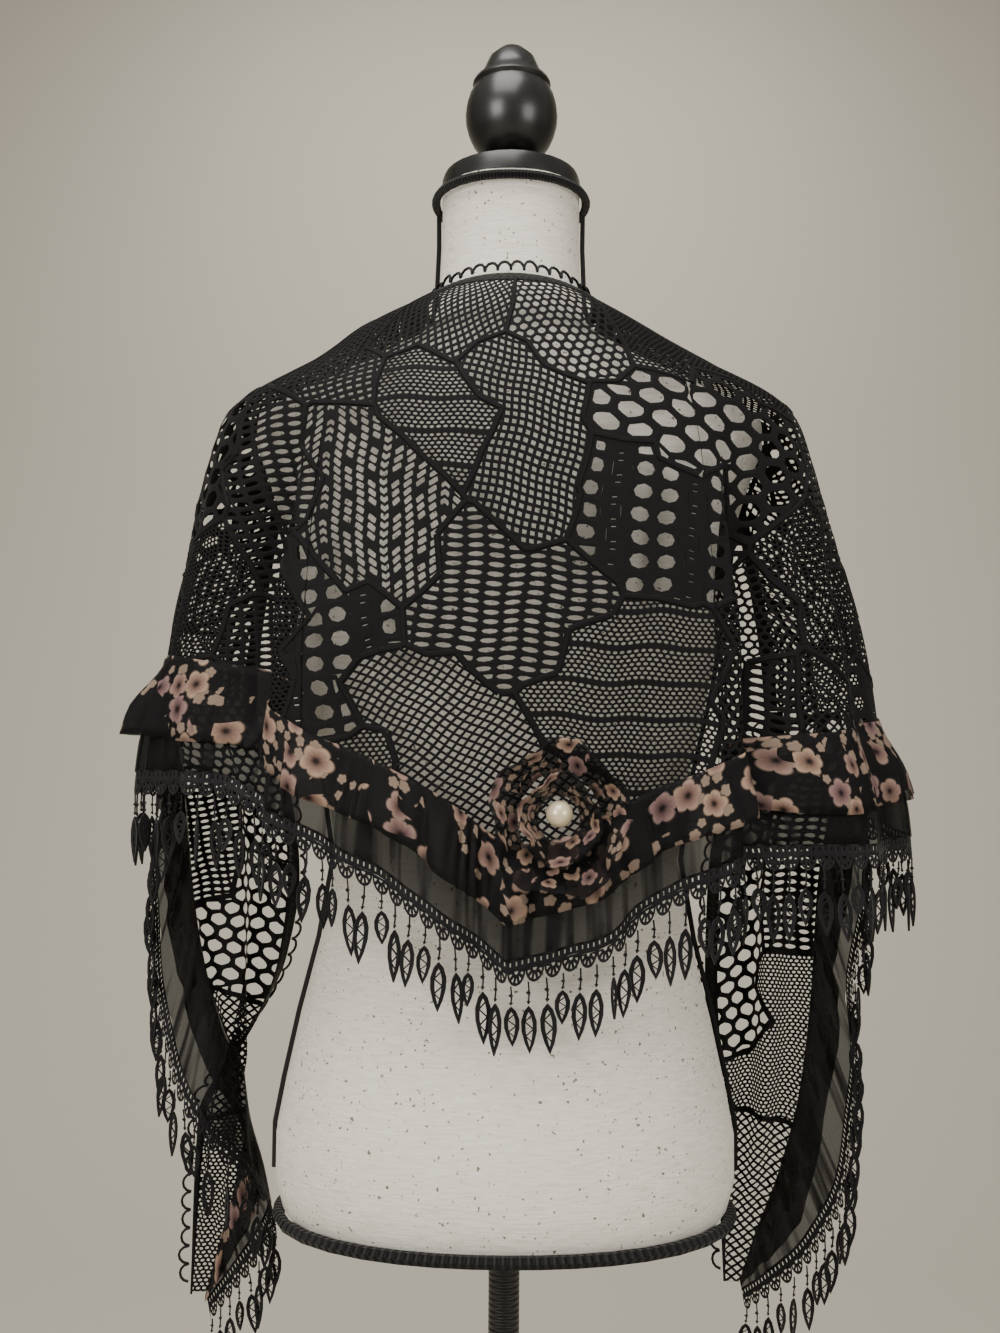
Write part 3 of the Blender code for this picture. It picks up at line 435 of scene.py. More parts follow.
def net_cells(net, low, high):
    """Cells of a net that fill a box, and whether each has a hole."""
    wide, tall = net.wide * MM, net.high * MM
    shape = {"hexes": HEX, "diamonds": DIAMOND}.get(net.kind, BOX)
    row_step = tall * {"hexes": 0.75, "diamonds": 0.5}.get(net.kind, 1.0)
    offset = 0.5 if net.kind in ("hexes", "diamonds") else 0.0
    if net.round or net.kind == "rounds":
        shape = halved(shape)
    shape = np.array(shape) * (wide, tall)
    cells, holes = [], []
    for j in range(int(low[1] // row_step) - 2, int(high[1] // row_step) + 3):
        for i in range(int(low[0] // wide) - 2, int(high[0] // wide) + 3):
            centre = np.array(((i + offset * (j % 2)) * wide, j * row_step))
            hole = not (net.every and net.kind == "hexes" and j % net.every == 0)
            if net.kind == "zigzag":
                period = 2 * net.every * wide
                cell = shape + centre
                swing = np.abs((cell[:, 0] + period / 2) % period - period / 2)
                middle = abs((centre[0] + period / 2) % period - period / 2)
                swing = middle + np.clip(swing - middle, -wide, wide)
                cell = cell + np.stack((0 * swing, 0.75 * swing), axis=-1)
                hole = j % 4 > 0 or i % 2 == 0
                cells.append(cell)
            elif net.kind == "rounds" and i % 3 == 1:
                for k in range(3):
                    small = shape[::2] * (0.55, 1 / 3) + centre + (0, (k - 1) * tall / 3)
                    cells.append(small)
                    holes.append(k != 1)
                for k in (-1, 1):
                    cells.append(shape[::2] * (0.225, 1.0) + centre + (k * 0.3875 * wide, 0))
                    holes.append(False)
                continue
            else:
                cells.append(shape + centre)
            holes.append(hole)
    return cells, holes


def clip(cell, point, inward):
    """The part of a convex polygon on one side of a line."""
    side = (cell - point) @ inward
    keep = []
    for i in range(len(cell)):
        j = (i + 1) % len(cell)
        if side[i] >= 0:
            keep.append(cell[i])
        if side[i] * side[j] < 0:
            keep.append(cell[i] + (cell[j] - cell[i]) * side[i] / (side[i] - side[j]))
    return np.array(keep)


def regions(patches, low, high):
    """The plane shared out between the patches' seeds: (patch, polygon, lines to the other seeds)."""
    seeds = [(number, np.array(seed) * MM) for number, patch in enumerate(patches) for seed in patch.seeds]
    out = []
    for number, seed in seeds:
        polygon = np.array(((low[0], high[1]), (low[0], low[1]), (high[0], low[1]), (high[0], high[1])))
        marks = []
        for other_number, other in seeds:
            if other is seed:
                continue
            inward = (seed - other) / np.linalg.norm(seed - other)
            marks.append((other_number, (seed + other) / 2, inward))
            if len(polygon):
                polygon = clip(polygon, (seed + other) / 2, inward)
        if len(polygon) > 2:
            out.append((number, polygon, marks))
    return out


def area_of(cell):
    """Area of a polygon, below zero where its corners run clockwise."""
    x, y = cell[:, 0], cell[:, 1]
    return 0.5 * (x @ np.roll(y, -1) - y @ np.roll(x, -1))


def lengths_inside(one, two, inside):
    """The short lengths of a line whose middles lie on the piece."""
    count = max(1, int(np.linalg.norm(two - one) / 0.02))
    stops = one + (two - one) * np.linspace(0, 1, count + 1)[:, None]
    good = inside((stops[:-1] + stops[1:]) / 2)
    return [(a, b) for a, b, use in zip(stops[:-1], stops[1:], good) if use]


def fill_patches(patches, low, high, inside):
    """Net cells of every patch cut to its borders, and the borders as pairs of points."""
    seeds = np.array([seed for patch in patches for seed in patch.seeds]) * MM
    groups = np.array([number for number, patch in enumerate(patches) for _ in patch.seeds])
    cells, lines = [], []
    shared = regions(patches, low, high)
    for number, patch in enumerate(patches):
        net = NETS[patch.net]
        turn = math.radians(patch.turn)
        rotate = np.array(((math.cos(turn), math.sin(turn)), (-math.sin(turn), math.cos(turn))))
        own = [region for region in shared if region[0] == number]
        if not own:
            continue
        corners = np.concatenate([region[1] for region in own]) @ rotate.T
        found, holes = net_cells(net, corners.min(axis=0), corners.max(axis=0))
        middles = np.array([cell.mean(axis=0) for cell in found]) @ rotate
        apart = ((middles[:, None] - seeds[None]) ** 2).sum(axis=-1)
        mine = np.nonzero(groups == number)[0]
        others = np.nonzero(groups != number)[0]
        nearest = mine[np.argmin(apart[:, mine], axis=1)]
        gap = np.linalg.norm(seeds[nearest][:, None] - seeds[others][None], axis=-1)
        room = (apart[:, others] - apart[np.arange(len(apart)), nearest][:, None]) / (2 * gap)
        size = max(net.wide, net.high) * MM * 0.75
        full = net.wide * net.high * MM * MM
        for index in np.nonzero((room.min(axis=1) > -size) & inside(middles))[0]:
            cell = found[index] @ rotate
            here = seeds[nearest[index]]
            for q in others[room[index] < size]:
                inward = (here - seeds[q]) / np.linalg.norm(here - seeds[q])
                cell = clip(cell, (here + seeds[q]) / 2, inward)
                if len(cell) < 3:
                    break
            if len(cell) < 3 or abs(area_of(cell)) < 0.04 * full:
                continue
            cells.append((cell, holes[index] and abs(area_of(cell)) > 0.16 * full, net, rotate))
        for _, polygon, marks in own:
            for one, two in zip(polygon, np.roll(polygon, -1, axis=0)):
                for other, point, inward in marks:
                    near = abs((one - point) @ inward) + abs((two - point) @ inward) < 1e-7
                    if near and other > number:
                        lines += lengths_inside(one, two, inside)
    return cells, lines


def warp(flat):
    """The hand-made unevenness of the net: a slow shift of a millimetre or two."""
    x, y = flat[..., 0], flat[..., 1]
    shift = np.stack((np.sin(y * 61 + 1.3) + 0.8 * np.sin(y * 137 + x * 60), np.sin(x * 74 + 0.4)
                      + 0.8 * np.sin(x * 151 - y * 48)), axis=-1)
    return flat + 0.9 * MM * shift


def hole_in(cell, net, rotate, wider=1.0):
    """The hole of a cell: smaller by a thread, and rounded where the net is."""
    middle = cell.mean(axis=-2, keepdims=True)
    local = (cell - middle) @ rotate.T
    size = np.ptp(local, axis=-2, keepdims=True)
    shrink = np.clip(1 - wider * net.thread * MM / size, 0.15, 0.95)
    if net.kind == "diamonds":
        shrink = np.clip(1 - wider * 1.35 * net.thread * MM / size, 0.15, 0.95)
    hole = local * shrink
    if net.round:
        norm = np.linalg.norm(local / (size / 2), axis=-1, keepdims=True)
        hole = hole / np.maximum(norm, 1.0)
    return hole @ rotate + middle


# ---------------------------------------------------------------- mesh helpers
def new_mesh(name, points, faces):
    """A mesh object at the origin from points and faces."""
    mesh = bpy.data.meshes.new(name)
    mesh.from_pydata([tuple(point) for point in points], [], faces)
    mesh.update()
    obj = bpy.data.objects.new(name, mesh)
    bpy.context.collection.objects.link(obj)
    return obj


def lay_flat(obj, flat):
    """Gives a piece the metres of its flat cut as its own UV, one place for each point."""
    layer = obj.data.uv_layers.new(name="cloth")
    index = np.empty(len(obj.data.loops), dtype=np.int32)
    obj.data.loops.foreach_get("vertex_index", index)
    layer.data.foreach_set("uv", flat[index].ravel())


def smooth_faces(obj):
    """Shades every face of a mesh smooth."""
    obj.data.polygons.foreach_set("use_smooth", np.ones(len(obj.data.polygons), dtype=bool))


def wall_faces(rows, cols):
    """Faces of a closed wall between two grids of points, its two sides first and then its rim."""
    count = rows * cols
    faces = []
    for r in range(rows - 1):
        for c in range(cols - 1):
            a, b, d, e = r * cols + c, r * cols + c + 1, (r + 1) * cols + c + 1, (r + 1) * cols + c
            faces.append((a, b, d, e))
            faces.append((count + e, count + d, count + b, count + a))
    rim = list(range(cols)) + [r * cols + cols - 1 for r in range(1, rows)]
    rim += [(rows - 1) * cols + c for c in range(cols - 2, -1, -1)]
    rim += [r * cols for r in range(rows - 2, 0, -1)]
    for here, there in zip(rim, rim[1:] + rim[:1]):
        faces.append((there, here, count + here, count + there))
    return faces


def turned(points, faces, tested=None):
    """All faces turned over if the tested ones, or all, span a volume below zero from the origin."""
    volume = 0.0
    for face in faces[:tested]:
        a, b, c, d = (points[i] for i in face)
        volume += float(a @ np.cross(b, c) + a @ np.cross(c, d))
    return [tuple(reversed(face)) for face in faces] if volume < 0 else faces


def normals(surface, one, two):
    """Unit normals of a surface given as a function of two arrays, by small differences."""
    small = 1e-4
    first = surface(one + small, two) - surface(one - small, two)
    second = surface(one, two + small) - surface(one, two - small)
    cross = np.cross(first, second)
    return cross / np.maximum(np.linalg.norm(cross, axis=-1, keepdims=True), 1e-12)


SLIVER = 2e-9                   # square metres: a face squeezed flat at a seam is left out


class Cloth:
    """Points and faces of one piece, laid on a surface by a function of the flat plan."""

    def __init__(self, place):
        self.place = place
        self.points, self.faces, self.flat = [], [], []
        self.count = 0

    def add(self, flat, lift, faces):
        """Adds flat points at heights over the cloth's middle; faces count from this lot's first point."""
        self.flat.append(np.concatenate((flat, np.broadcast_to(lift, flat.shape[:-1])[..., None]), axis=-1))
        self.faces += [tuple(self.count + i for i in face) for face in faces]
        self.count += len(flat)

    def ring(self, cell, hole, thick):
        """One cell: a solid plate, or a frame of threads round a hole."""
        n = len(cell)
        half = thick / 2
        if hole is None:
            lift = np.repeat((half, -half), n)
            plate = [tuple(range(n)), tuple(range(2 * n - 1, n - 1, -1))]
            self.add(np.concatenate((cell, cell)), lift, plate)
            return
        flat = np.concatenate((cell, hole, cell, hole))
        lift = np.repeat((half, 0.45 * half, -half, -0.45 * half), n)
        faces = []
        for i in range(n):
            j = (i + 1) % n
            faces.append((i, j, n + j, n + i))
            faces.append((n + i, n + j, 3 * n + j, 3 * n + i))
            faces.append((3 * n + i, 3 * n + j, 2 * n + j, 2 * n + i))
        self.add(flat, lift, faces)

    def cord(self, one, two, wide, thick, step=0.006):
        """A raised cord along a straight line of the plan."""
        length = np.linalg.norm(two - one)
        if length < 0.001:
            return
        count = max(1, int(length / step))
        along = (two - one) / length
        side = np.array((-along[1], along[0])) * wide / 2
        stops = one + (two - one) * np.linspace(0, 1, count + 1)[:, None]
        flat = np.concatenate([np.stack((stop + side, stop + 0.45 * side, stop - 0.45 * side, stop - side))
                               for stop in stops])
        lift = np.tile((-thick * 0.3, thick, thick, -thick * 0.3), count + 1)
        faces = []
        for k in range(count):
            for c in range(4):
                d = (c + 1) % 4
                faces.append((4 * k + c, 4 * k + d, 4 * k + 4 + d, 4 * k + 4 + c))
        faces.append((3, 2, 1, 0))
        faces.append(tuple(4 * count + c for c in range(4)))
        self.add(flat, lift, faces)

    def build(self, name):
        """The piece in its place, without the faces that a seam has squeezed flat."""
        flat = np.concatenate(self.flat)
        surface, one, two = self.place(flat[:, :2])
        points = surface(one, two) + normals(surface, one, two) * flat[:, 2:]
        trial = new_mesh(name, points, self.faces)
        area = np.empty(len(self.faces))
        trial.data.polygons.foreach_get("area", area)
        bpy.data.meshes.remove(trial.data)
        faces = [face for face, size in zip(self.faces, area) if size > SLIVER]
        used = np.zeros(len(points), dtype=bool)
        used[np.array([i for face in faces for i in face])] = True
        number = np.cumsum(used) - 1
        points, flat = points[used], flat[used]
        obj = new_mesh(name, points, [tuple(int(number[i]) for i in face) for face in faces])
        lay_flat(obj, flat[:, :2])
        return obj


def lay_net(cloth, cells, lines, thick, cord_wide, cord_thick):
    """Puts a patchwork's cells and border cords on a cloth."""
    for cell, holed, net, rotate in cells:
        if area_of(cell) < 0:
            cell = cell[::-1]
        hole = hole_in(cell, net, rotate) if holed else None
        cloth.ring(warp(cell), None if hole is None else warp(hole), thick)
    for one, two in lines:
        count = max(1, int(np.linalg.norm(two - one) / 0.012))
        stops = warp(one + (two - one) * np.linspace(0, 1, count + 1)[:, None])
        for a, b in zip(stops[:-1], stops[1:]):
            cloth.cord(a, b, cord_wide, cord_thick)


# ---------------------------------------------------------------- finishes
def node(tree, kind, inputs=None, **settings):
    """A new shader node; inputs are values or the sockets to link."""
    new = tree.nodes.new(kind)
    for key, value in settings.items():
        setattr(new, key, value)
    for key, value in (inputs or {}).items():
        if isinstance(value, bpy.types.NodeSocket):
            tree.links.new(value, new.inputs[key])
        else:
            new.inputs[key].default_value = value
    return new


def linear(code):
    """A colour written as sRGB hex, as the linear values the shader takes."""
    parts = [int(code[i:i + 2], 16) / 255 for i in (1, 3, 5)]
    return tuple(c / 12.92 if c <= 0.04045 else ((c + 0.055) / 1.055) ** 2.4 for c in parts) + (1.0,)


def finish_of(name, colour, roughness, **extra):
    """A new material with a plain colour; returns it, its tree and its shader."""
    look = bpy.data.materials.new(name)
    look.use_nodes = True
    shader = look.node_tree.nodes["Principled BSDF"]
    shader.inputs["Base Color"].default_value = linear(colour)
    shader.inputs["Roughness"].default_value = roughness
    for key, value in extra.items():
        shader.inputs[key.replace("_", " ")].default_value = value
    return look, look.node_tree, shader


CLOTH_GLOSS = 0.16              # dyed black fibre reflects little at its face


def thread_finish(name, colour, roughness, sheen, scale, depth):
    """Twisted thread: a fine ribbed bump over a plain dyed colour."""
    look, tree, shader = finish_of(name, colour, roughness, Sheen_Weight=sheen, Sheen_Roughness=0.5,
                                   Specular_IOR_Level=CLOTH_GLOSS)
    place = node(tree, "ShaderNodeTexCoord")
    rough = node(tree, "ShaderNodeTexNoise", {"Vector": place.outputs["Object"], "Scale": scale,
                                              "Detail": 3.0})
    bump = node(tree, "ShaderNodeBump", {"Height": rough.outputs["Fac"], "Strength": 0.6, "Distance": depth})
    tree.links.new(bump.outputs["Normal"], shader.inputs["Normal"])
    return look


def lace_finish():
    """Black dyed cotton-rayon knit: near black, a dull soft sheen on the thread's shoulders."""
    return thread_finish("Black lace thread", "#060506", 0.70, 0.03, 900.0, 0.0004)


def guipure_finish():
    """Black rayon guipure: a touch of violet grey where the thread catches the light."""
    return thread_finish("Guipure thread", "#09070a", 0.52, 0.10, 1100.0, 0.0003)


def gimp_finish():
    """Black gimp braid, smoother and a little shinier than the lace."""
    return thread_finish("Gimp braid", "#060507", 0.50, 0.05, 700.0, 0.0004)


def chiffon_finish():
    """Black silk chiffon, sheer and streaked: both faces of a layer together let little light through."""
    look, tree, shader = finish_of("Sheer chiffon", "#070607", 0.62, Sheen_Weight=0.05, Sheen_Roughness=0.4,
                                   Specular_IOR_Level=CLOTH_GLOSS)
    place = node(tree, "ShaderNodeUVMap", uv_map="cloth")
    crepe = node(tree, "ShaderNodeTexNoise", {"Vector": place.outputs["UV"], "Scale": 900.0, "Detail": 2.0})
    bump = node(tree, "ShaderNodeBump", {"Height": crepe.outputs["Fac"], "Strength": 0.4, "Distance": 0.0004})
    tree.links.new(bump.outputs["Normal"], shader.inputs["Normal"])
    fold = node(tree, "ShaderNodeMapping", {"Vector": place.outputs["UV"], "Scale": (105.0, 9.0, 1.0)})
    doubled = node(tree, "ShaderNodeTexNoise", {"Vector": fold.outputs["Vector"], "Scale": 1.0,
                                                "Detail": 1.5})
    layers = node(tree, "ShaderNodeMapRange", {"Value": doubled.outputs["Fac"], "From Min": 0.46,
                                               "From Max": 0.66, "To Min": 0.58, "To Max": 0.88})
    tree.links.new(layers.outputs[0], shader.inputs["Alpha"])
    return look


BLOSSOM = 23.5 * MM             # from blossom to blossom
BUD = 9.5 * MM                  # from bud to bud


def floral_finish():
    """Black chiffon printed with dusty rose blossoms: five soft petals, dark stamens, crowded in drifts."""
    look, tree, shader = finish_of("Floral chiffon", "#080607", 0.68, Sheen_Weight=0.05, Sheen_Roughness=0.4,
                                   Specular_IOR_Level=CLOTH_GLOSS)
    place = node(tree, "ShaderNodeUVMap", uv_map="cloth")

    def blossoms(pitch, shift, crowd):
        """A layer of blossoms: how much petal, how far out from the middle, its lobes and its chance."""
        moved = node(tree, "ShaderNodeVectorMath", {0: place.outputs["UV"], 1: shift}, operation="ADD")
        scaled = node(tree, "ShaderNodeVectorMath", {0: moved.outputs["Vector"], "Scale": 1 / pitch},
                      operation="SCALE")
        cell = node(tree, "ShaderNodeTexVoronoi", {"Vector": scaled.outputs["Vector"], "Scale": 1.0,
                                                   "Randomness": 0.72}, voronoi_dimensions="2D")
        local = node(tree, "ShaderNodeVectorMath", {0: scaled.outputs["Vector"], 1: cell.outputs["Position"]},
                     operation="SUBTRACT")
        part = node(tree, "ShaderNodeSeparateXYZ", {"Vector": local.outputs["Vector"]})
        chance = node(tree, "ShaderNodeSeparateColor", {"Color": cell.outputs["Color"]})
        turn = node(tree, "ShaderNodeMath", {0: part.outputs["Y"], 1: part.outputs["X"]}, operation="ARCTAN2")
        own = node(tree, "ShaderNodeMath", {0: chance.outputs["Red"], 1: 6.0}, operation="MULTIPLY")
        turned_by = node(tree, "ShaderNodeMath", {0: turn.outputs[0], 1: 2.5, 2: own.outputs[0]},
                         operation="MULTIPLY_ADD")
        wave = node(tree, "ShaderNodeMath", {0: turned_by.outputs[0]}, operation="COSINE")
        lobes = node(tree, "ShaderNodeMath", {0: wave.outputs[0]}, operation="ABSOLUTE").outputs[0]
        size = node(tree, "ShaderNodeMath", {0: chance.outputs["Green"], 1: 0.14, 2: 0.33},
                    operation="MULTIPLY_ADD")
        rounded = node(tree, "ShaderNodeMath", {0: lobes, 1: 0.6}, operation="POWER")
        petals = node(tree, "ShaderNodeMath", {0: rounded.outputs[0], 1: 0.30, 2: 0.70},
                      operation="MULTIPLY_ADD")
        reach = node(tree, "ShaderNodeMath", {0: petals.outputs[0], 1: size.outputs[0]}, operation="MULTIPLY")
        out = node(tree, "ShaderNodeMath", {0: cell.outputs["Distance"], 1: reach.outputs[0]},
                   operation="DIVIDE").outputs[0]
        petal = node(tree, "ShaderNodeMapRange", {"Value": out, "From Min": 1.03, "From Max": 0.80},
                     interpolation_type="SMOOTHSTEP").outputs[0]
        drift = node(tree, "ShaderNodeTexNoise", {"Vector": moved.outputs["Vector"], "Scale": 26.0,
                                                  "Detail": 1.0}).outputs["Fac"]
        likely = node(tree, "ShaderNodeMath", {0: chance.outputs["Blue"], 1: 0.22, 2: drift},
                      operation="MULTIPLY_ADD")
        shown = node(tree, "ShaderNodeMath", {0: likely.outputs[0], 1: crowd}, operation="GREATER_THAN")
        drawn = node(tree, "ShaderNodeMath", {0: petal, 1: shown.outputs[0]}, operation="MULTIPLY")
        return drawn.outputs[0], out, lobes, chance.outputs["Red"]

    large, far, lobes, chance = blossoms(BLOSSOM, (0.0, 0.0, 0.0), 0.560)
    small = blossoms(BUD, (0.31, 0.17, 0.0), 0.66)[0]
    petal = node(tree, "ShaderNodeValToRGB", {"Fac": far})
    ramp = petal.color_ramp
    ramp.elements[0].color = linear("#1c1414")
    ramp.elements[0].position = 0.10
    ramp.elements[1].color = linear("#a08d82")
    ramp.elements[1].position = 0.85
    for stop, colour in ((0.20, "#473835"), (0.34, "#6d5a55"), (0.62, "#8a756d")):
        ramp.elements.new(stop).color = linear(colour)
    crease = node(tree, "ShaderNodeMath", {0: lobes, 1: 3.0}, operation="POWER")
    rib = node(tree, "ShaderNodeMath", {0: crease.outputs[0], 1: 0.18, 2: 0.84}, operation="MULTIPLY_ADD")
    tint = node(tree, "ShaderNodeMix", {0: chance, 6: linear("#fff4e0"), 7: linear("#d2c2cb")},
                data_type="RGBA")
    shaded = node(tree, "ShaderNodeMix", {0: 1.0, 6: petal.outputs["Color"], 7: tint.outputs[2]},
                  data_type="RGBA", blend_type="MULTIPLY")
    ribbed = node(tree, "ShaderNodeVectorMath", {0: shaded.outputs[2], "Scale": rib.outputs[0]},
                  operation="SCALE")
    ground = node(tree, "ShaderNodeMix", {0: large, 6: linear("#080607"), 7: ribbed.outputs["Vector"]},
                  data_type="RGBA")
    bare = node(tree, "ShaderNodeMath", {0: 1.0, 1: large}, operation="SUBTRACT")
    alone = node(tree, "ShaderNodeMath", {0: small, 1: bare.outputs[0]}, operation="MULTIPLY")
    both = node(tree, "ShaderNodeMix", {0: alone.outputs[0], 6: ground.outputs[2], 7: linear("#7b6a5c")},
                data_type="RGBA")
    tree.links.new(both.outputs[2], shader.inputs["Base Color"])
    printed = node(tree, "ShaderNodeMath", {0: large, 1: small}, operation="MAXIMUM")
    dense = node(tree, "ShaderNodeMath", {0: printed.outputs[0], 1: 0.22, 2: 0.72}, operation="MULTIPLY_ADD")
    tree.links.new(dense.outputs[0], shader.inputs["Alpha"])
    return look


def linen_finish():
    """Unbleached linen cover: slubby plain weave, off-white with tiny dark flecks of husk."""
    look, tree, shader = finish_of("Linen cover", "#dcd7cb", 0.86, Sheen_Weight=0.15)
    place = node(tree, "ShaderNodeTexCoord")
    slub = node(tree, "ShaderNodeMapping", {"Vector": place.outputs["Object"], "Scale": (90.0, 90.0, 900.0)})
    threads = node(tree, "ShaderNodeTexNoise", {"Vector": slub.outputs["Vector"], "Scale": 1.0,
                                                "Detail": 4.0})
    warp_way = node(tree, "ShaderNodeMapping", {"Vector": place.outputs["Object"],
                                                "Scale": (900.0, 900.0, 70.0)})
    warps = node(tree, "ShaderNodeTexNoise", {"Vector": warp_way.outputs["Vector"], "Scale": 1.0,
                                              "Detail": 3.0})
    fleck = node(tree, "ShaderNodeTexNoise", {"Vector": place.outputs["Object"], "Scale": 330.0,
                                              "Detail": 1.0})
    dots = node(tree, "ShaderNodeMapRange", {"Value": fleck.outputs["Fac"], "From Min": 0.685,
                                             "From Max": 0.74})
    weave = node(tree, "ShaderNodeMath", {0: threads.outputs["Fac"], 1: warps.outputs["Fac"]},
                 operation="ADD")
    tone = node(tree, "ShaderNodeValToRGB", {"Fac": threads.outputs["Fac"]})
    tone.color_ramp.elements[0].color = linear("#d6d0c2")
    tone.color_ramp.elements[0].position = 0.30
    tone.color_ramp.elements[1].color = linear("#ece8df")
    tone.color_ramp.elements[1].position = 0.70
    flecked = node(tree, "ShaderNodeMix", {0: dots.outputs[0], 6: tone.outputs["Color"],
                                           7: linear("#6f675a")}, data_type="RGBA")
    tree.links.new(flecked.outputs[2], shader.inputs["Base Color"])
    bump = node(tree, "ShaderNodeBump", {"Height": weave.outputs[0], "Strength": 0.5, "Distance": 0.0006})
    tree.links.new(bump.outputs["Normal"], shader.inputs["Normal"])
    return look


def chevron_finish():
    """Black plaited gimp on the form: slanting floats that meet in the middle, with a painted grey highlight
    on their crests.
    """
    look, tree, shader = finish_of("Plaited braid", "#0d0c0d", 0.55, Sheen_Weight=0.05,
                                   Specular_IOR_Level=CLOTH_GLOSS)
    place = node(tree, "ShaderNodeTexCoord")
    part = node(tree, "ShaderNodeSeparateXYZ", {"Vector": place.outputs["Object"]})
    turn = node(tree, "ShaderNodeMath", {0: part.outputs["X"], 1: part.outputs["Y"]}, operation="ARCTAN2")
    wave = node(tree, "ShaderNodeMath", {0: turn.outputs[0], 1: 150.0}, operation="MULTIPLY")
    ridge = node(tree, "ShaderNodeMath", {0: wave.outputs[0]}, operation="SINE")
    # painted highlight: the colour goes from black to grey along the crest of each float
    crest_highlight = node(tree, "ShaderNodeValToRGB", {"Fac": ridge.outputs[0]})
    crest_highlight.color_ramp.elements[0].color = linear("#070607")
    crest_highlight.color_ramp.elements[1].color = linear("#211f21")
    tree.links.new(crest_highlight.outputs["Color"], shader.inputs["Base Color"])
    bump = node(tree, "ShaderNodeBump", {"Height": ridge.outputs[0], "Strength": 0.8, "Distance": 0.0008})
    tree.links.new(bump.outputs["Normal"], shader.inputs["Normal"])
    return look


def paint_finish(name, colour, roughness):
    """Satin black paint on turned wood: an even coat with a very slight unevenness in its gloss."""
    look, tree, shader = finish_of(name, colour, roughness, Coat_Weight=0.25, Coat_Roughness=0.25)
    place = node(tree, "ShaderNodeTexCoord")
    uneven = node(tree, "ShaderNodeTexNoise", {"Vector": place.outputs["Object"], "Scale": 60.0,
                                               "Detail": 3.0})
    gloss = node(tree, "ShaderNodeMapRange", {"Value": uneven.outputs["Fac"], "To Min": roughness - 0.06,
                                              "To Max": roughness + 0.08})
    tree.links.new(gloss.outputs[0], shader.inputs["Roughness"])
    return look


def pole_finish():
    """Black painted steel pole, closely ringed so that the torso can be set at any height."""
    look, tree, shader = finish_of("Ringed pole", "#101011", 0.38, Coat_Weight=0.2)
    place = node(tree, "ShaderNodeTexCoord")
    part = node(tree, "ShaderNodeSeparateXYZ", {"Vector": place.outputs["Object"]})
    wave = node(tree, "ShaderNodeMath", {0: part.outputs["Z"], 1: 2 * math.pi / 0.004}, operation="MULTIPLY")
    ring = node(tree, "ShaderNodeMath", {0: wave.outputs[0]}, operation="SINE")
    bump = node(tree, "ShaderNodeBump", {"Height": ring.outputs[0], "Strength": 1.0, "Distance": 0.0012})
    tree.links.new(bump.outputs["Normal"], shader.inputs["Normal"])
    return look


def pearl_finish():
    """Champagne glass pearl: a soft nacre with a clear coat."""
    look, tree, shader = finish_of("Champagne pearl", "#d9c7a6", 0.28, Coat_Weight=0.8, Coat_Roughness=0.08,
                                   Metallic=0.15)
    place = node(tree, "ShaderNodeTexCoord")
    cloud = node(tree, "ShaderNodeTexNoise", {"Vector": place.outputs["Object"], "Scale": 120.0})
    tone = node(tree, "ShaderNodeValToRGB", {"Fac": cloud.outputs["Fac"]})
    tone.color_ramp.elements[0].color = linear("#cdb98f")
    tone.color_ramp.elements[1].color = linear("#eee2c8")
    tree.links.new(tone.outputs["Color"], shader.inputs["Base Color"])
    return look


LOOKS = {
    "lace": lace_finish,
    "guipure": guipure_finish,
    "gimp_braid": gimp_finish,
    "sheer_chiffon": chiffon_finish,
    "floral_chiffon": floral_finish,
    "form_cover": linen_finish,
    "form_braid": chevron_finish,
    "painted_wood": lambda: paint_finish("Satin black wood", "#0b0a0a", 0.34),
    "painted_stand": lambda: paint_finish("Painted stand", "#0e0e0e", 0.40),
    "pole": pole_finish,
    "pearl": pearl_finish,
}


def coat(obj, look):
    """Gives a mesh its material, which is made once."""
    name = "shawl " + look
    found = bpy.data.materials.get(name)
    if found is None:
        found = LOOKS[look]()
        found.name = name
    obj.data.materials.clear()
    obj.data.materials.append(found)


def dress(obj, look, smooth=False):
    """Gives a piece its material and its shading."""
    coat(obj, look)
    if smooth:
        smooth_faces(obj)
    return obj


def keep(obj, *nodes):
    """A finished soft piece: it rides on the body and stands for its solids."""
    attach(obj, "root")
    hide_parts(*nodes)
    return obj


# ---------------------------------------------------------------- the lace
SIDE_ANGLE = 48.0
LACE_TOP = NECK_HEIGHT - BRAID_WIDE
HEM_LAP = 1.0 * MM              # the lace runs under the flounce's seam by this much
SIDE_MARGIN = 2.6               # cells are laid this many degrees past a stretch's sides, and then drawn in
END_MARGIN = 6.0 * MM           # and this far past its hem and its neckline
CAPE_PLAN = ((-0.52, 0.24), (0.52, 0.70))
TAIL_PLAN = ((-0.09, -0.10), (0.09, 0.37))
GIMP_THICK = 1.9 * MM
GIMP_PITCH = 5.0 * MM           # from float to float of the plait
LOOP_THREAD = 2.4 * MM          # thickness of the picot loops' thread


def cape_lace(name, first, last, plan, thick):
    """One stretch of the patchwork lace, between two angles."""
    def place(flat):
        angle, height = locate(plan, flat)
        angle = np.clip(angle, first, last)
        height = np.clip(height, hem_height(angle) - HEM_LAP, LACE_TOP)
        return cape, angle, height

    def inside(flat):
        angle, _ = locate(plan, flat)
        rise = flat[:, 1]
        low = hem_height(angle)
        top = plan[1][-1, plan_column(angle)]
        return ((angle > first - SIDE_MARGIN) & (angle < last + SIDE_MARGIN) & (rise > low - END_MARGIN)
                & (rise < top + END_MARGIN))
    cloth = Cloth(place)
    cells, lines = fill_patches(CAPE_PATCHES, *CAPE_PLAN, inside)
    lay_net(cloth, cells, lines, thick, 0.0046, 0.0011)
    return cloth.build(name)


MARGIN_SCALE = 0.10             # a cell counts as on the tail to 7 mm past its sides, and is then cut off


